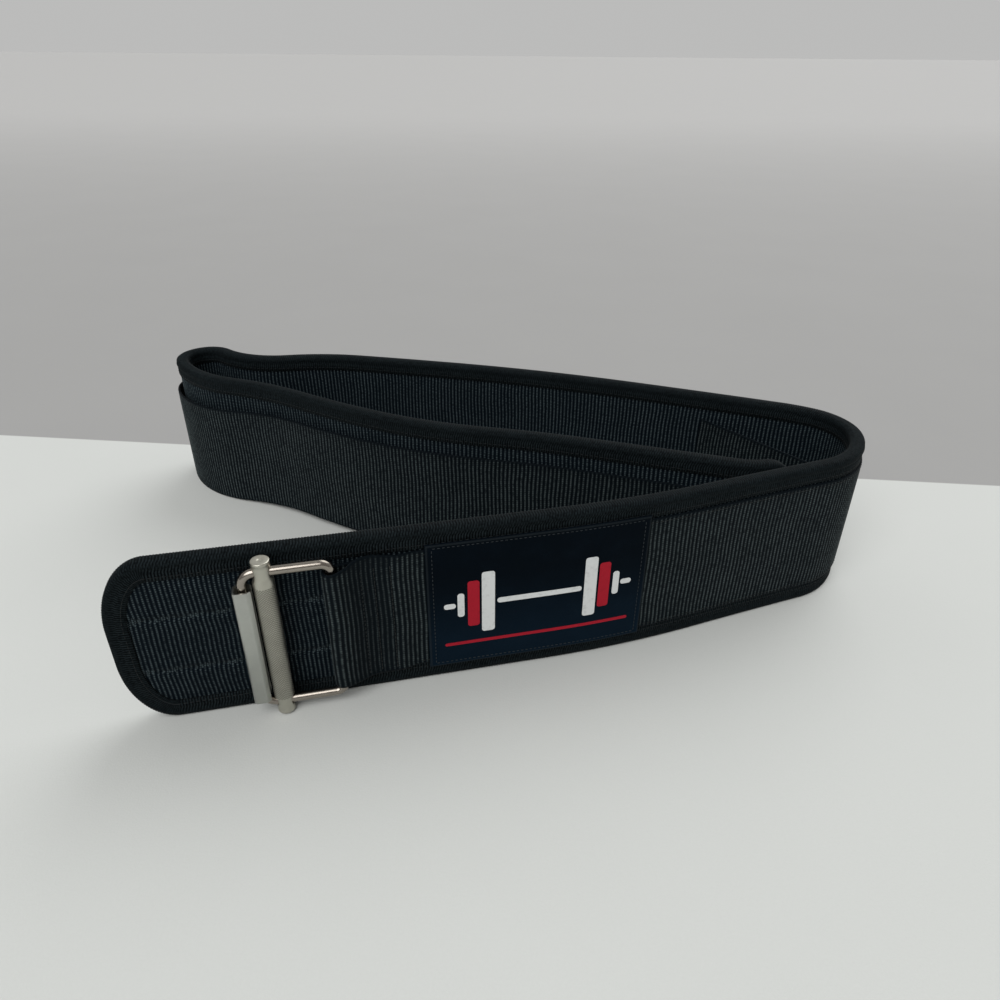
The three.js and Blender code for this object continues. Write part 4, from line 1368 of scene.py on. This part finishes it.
def make_roller(settings):
    profile = roller_profile(settings.knurl_pitch)
    around = round(2 * np.pi * KNURL_RADIUS / settings.knurl_pitch) * KNURL_STEPS
    angle = np.arange(around) * 2 * np.pi / around
    u = angle * round(2 * np.pi * KNURL_RADIUS / settings.knurl_pitch) / (2 * np.pi)
    rings, knurl_groove_shade = [], []
    for radius, level, share in profile[1:-1]:
        v = level / settings.knurl_pitch
        one, other = (u + v) % 1, (u - v) % 1
        dip = 2 * np.maximum(np.abs(one - 0.5), np.abs(other - 0.5)) - 0.5
        reach = radius - share * settings.knurl_depth * np.clip(dip, 0, 0.5) * 2
        ring = [reach * np.cos(angle), reach * np.sin(angle), np.full(around, level)]
        rings.append(np.stack(ring, axis=-1))
        # The groove depth share also paints shade into the knurl's grooves.
        knurl_groove_shade.append(share * np.clip(dip, 0, 0.5) * 2)
    sections = np.stack(rings)
    points = buckle_place(sections, BAR_FROM_TIP - FRAME_LENGTH + ROLLER_FROM_SLEEVE)
    roller = tube_of("knurled_roller", points, False, {"knurl_groove_shade": np.stack(knurl_groove_shade)}, sharp=55)
    drill(roller)
    finish = metal_finish("knurled_nickel", settings.roller, 0.3, 0.6 * MM, 0.1)
    return finish_piece(roller, finish, "roller", "roller_bar")


def drill(roller):
    """Cuts the two cross holes that the side wires run through."""
    from_tip = BAR_FROM_TIP - FRAME_LENGTH + ROLLER_FROM_SLEEVE
    around = np.arange(WIRE_SIDES) * 2 * np.pi / WIRE_SIDES
    radius = WIRE_DIAMETER / 2 + WIRE_CLEARANCE
    for side in (-1, 1):
        ends = []
        for reach in (-2 * HEAD_RADIUS, 2 * HEAD_RADIUS):
            y, z = radius * np.cos(around), side * FRAME_HEIGHT / 2 + radius * np.sin(around)
            ends.append(np.stack([np.full_like(y, reach), y, z], axis=-1))
        bore = tube_of("bore", buckle_place(np.stack(ends), from_tip), False)
        cut = roller.modifiers.new("bore", "BOOLEAN")
        cut.operation = "DIFFERENCE"
        cut.object = bore
        cut.solver = "EXACT"
        evaluated = roller.evaluated_get(bpy.context.evaluated_depsgraph_get())
        solid = bpy.data.meshes.new_from_object(evaluated)
        roller.modifiers.clear()
        roller.data = solid
        bpy.data.objects.remove(bore)


# Stage

CAMERA_PLACE = (12.47 * MM, -446.92 * MM, 313.8 * MM)
CAMERA_PITCH = 30.74
CAMERA_ROLL = 0.51
CAMERA_LENS = 27.2
SENSOR = 36
TABLE_EDGE = 0.151
TABLE_EDGE_SLOPE = 0.09
FLOOR_HALF = 60.0
FLOOR_DROP = 0.2 * MM


def make_camera():
    camera = bpy.data.objects.new("camera", bpy.data.cameras.new("camera"))
    bpy.context.scene.collection.objects.link(camera)
    camera.data.sensor_width = SENSOR
    camera.data.lens = CAMERA_LENS
    camera.data.clip_start = 10 * MM
    tilt = Matrix.Rotation(math.radians(90 - CAMERA_PITCH), 4, "X")
    roll = Matrix.Rotation(math.radians(CAMERA_ROLL), 4, "Z")
    camera.matrix_world = Matrix.Translation(CAMERA_PLACE) @ tilt @ roll
    bpy.context.scene.camera = camera


KEY_FROM = (-0.3, -0.75, 0.85)
REAR_FROM = (0.5, 0.75, 0.9)
LIGHT_SPREAD = 50


def make_light(name, comes_from, strength):
    """A wide soft light without falloff."""
    data = bpy.data.lights.new(name, "SUN")
    data.energy = strength
    data.angle = math.radians(LIGHT_SPREAD)
    light = bpy.data.objects.new(name, data)
    bpy.context.scene.collection.objects.link(light)
    light.location = comes_from
    light.rotation_euler = (-Vector(comes_from)).to_track_quat("-Z", "Y").to_euler()


def make_surroundings(settings):
    """Soft light from all round, dimmer on the camera's side."""
    world = bpy.data.worlds.new("studio")
    world.use_nodes = True
    bpy.context.scene.world = world
    nodes = Nodes(world.node_tree)
    direction = nodes.node("ShaderNodeTexCoord").outputs["Generated"]
    split = nodes.node("ShaderNodeSeparateXYZ", inputs={0: direction})
    behind = Value(nodes, split.outputs[1]).between(-0.6, 0.6)
    background = world.node_tree.nodes["Background"]
    nodes.feed(background.inputs["Color"], nodes.mix(behind, settings.front, settings.back))


def make_stage(settings):
    corners = np.array([(-1, -1), (1, -1), (1, 1), (-1, 1)]) * FLOOR_HALF
    points = np.column_stack([corners, np.full(4, -FLOOR_DROP)])
    floor = build("floor", points, np.array([[0, 1, 2, 3]]))
    floor.data.materials.append(
        stage_finish("pale_table", settings.table, settings.beyond, TABLE_EDGE, TABLE_EDGE_SLOPE)
    )
    make_light("key", KEY_FROM, settings.key_strength)
    make_light("rear", REAR_FROM, settings.rear_strength)
    make_surroundings(settings)
    bpy.context.scene.view_settings.view_transform = "Standard"
    make_camera()


# Operators

class LIFTING_BELT_OT_stage(bpy.types.Operator):
    """Set up the table, the soft lights and the camera"""
    bl_idname = "lifting_belt.stage"
    bl_label = "Stage"

    def execute(self, context):
        make_stage(context.scene.lifting_belt.stage)
        return {"FINISHED"}


class LIFTING_BELT_OT_band(bpy.types.Operator):
    """Make the ribbed fabric of the padded band and the quilted face of its flap"""
    bl_idname = "lifting_belt.band"
    bl_label = "Padded Band"

    def execute(self, context):
        make_band(context.scene.lifting_belt.band)
        return {"FINISHED"}


class LIFTING_BELT_OT_binding(bpy.types.Operator):
    """Make the ribbed tape round the band's edge, with its stitches"""
    bl_idname = "lifting_belt.binding"
    bl_label = "Edge Binding"

    def execute(self, context):
        make_binding(context.scene.lifting_belt.binding)
        return {"FINISHED"}


class LIFTING_BELT_OT_strap(bpy.types.Operator):
    """Make the heavy webbing strap, folded round the buckle's rear bar, with its seams"""
    bl_idname = "lifting_belt.strap"
    bl_label = "Strap"

    def execute(self, context):
        make_strap(context.scene.lifting_belt.strap)
        return {"FINISHED"}


class LIFTING_BELT_OT_patch(bpy.types.Operator):
    """Make the label with its rim, its seam and its plain print"""
    bl_idname = "lifting_belt.patch"
    bl_label = "Patch"

    def execute(self, context):
        make_patch(context.scene.lifting_belt.patch)
        return {"FINISHED"}


class LIFTING_BELT_OT_buckle(bpy.types.Operator):
    """Make the buckle's wire loop, its bent sleeve and its knurled roller"""
    bl_idname = "lifting_belt.buckle"
    bl_label = "Buckle"

    def execute(self, context):
        settings = context.scene.lifting_belt.buckle
        make_wire(settings)
        make_sleeve(settings)
        make_roller(settings)
        return {"FINISHED"}


OPERATORS = (
    LIFTING_BELT_OT_stage,
    LIFTING_BELT_OT_band,
    LIFTING_BELT_OT_binding,
    LIFTING_BELT_OT_strap,
    LIFTING_BELT_OT_patch,
    LIFTING_BELT_OT_buckle,
)


class LIFTING_BELT_PT_panel(bpy.types.Panel):
    """The belt's pieces and their settings"""
    bl_idname = "LIFTING_BELT_PT_panel"
    bl_label = "Lifting Belt"
    bl_space_type = "VIEW_3D"
    bl_region_type = "UI"
    bl_category = "Lifting Belt"

    def draw(self, context):
        settings = context.scene.lifting_belt
        for operator in OPERATORS:
            box = self.layout.box()
            box.operator(operator.bl_idname)
            group = getattr(settings, operator.bl_idname.split(".")[1])
            for title in group.bl_rna.properties.keys():
                if title not in ("rna_type", "name"):
                    box.prop(group, title)


SETTINGS = (
    BandSettings, BindingSettings, StrapSettings, PatchSettings, BuckleSettings, StageSettings, BeltSettings,
)
CLASSES = (*SETTINGS, *OPERATORS, LIFTING_BELT_PT_panel)


def register():
    for one in CLASSES:
        bpy.utils.register_class(one)
    bpy.types.Scene.lifting_belt = PointerProperty(type=BeltSettings)


def unregister():
    del bpy.types.Scene.lifting_belt
    for one in reversed(CLASSES):
        bpy.utils.unregister_class(one)


def main():
    register()
    bpy.ops.lifting_belt.stage()
    bpy.ops.lifting_belt.band()
    bpy.ops.lifting_belt.binding()
    bpy.ops.lifting_belt.strap()
    bpy.ops.lifting_belt.patch()
    bpy.ops.lifting_belt.buckle()


if __name__ == "__main__":
    main()
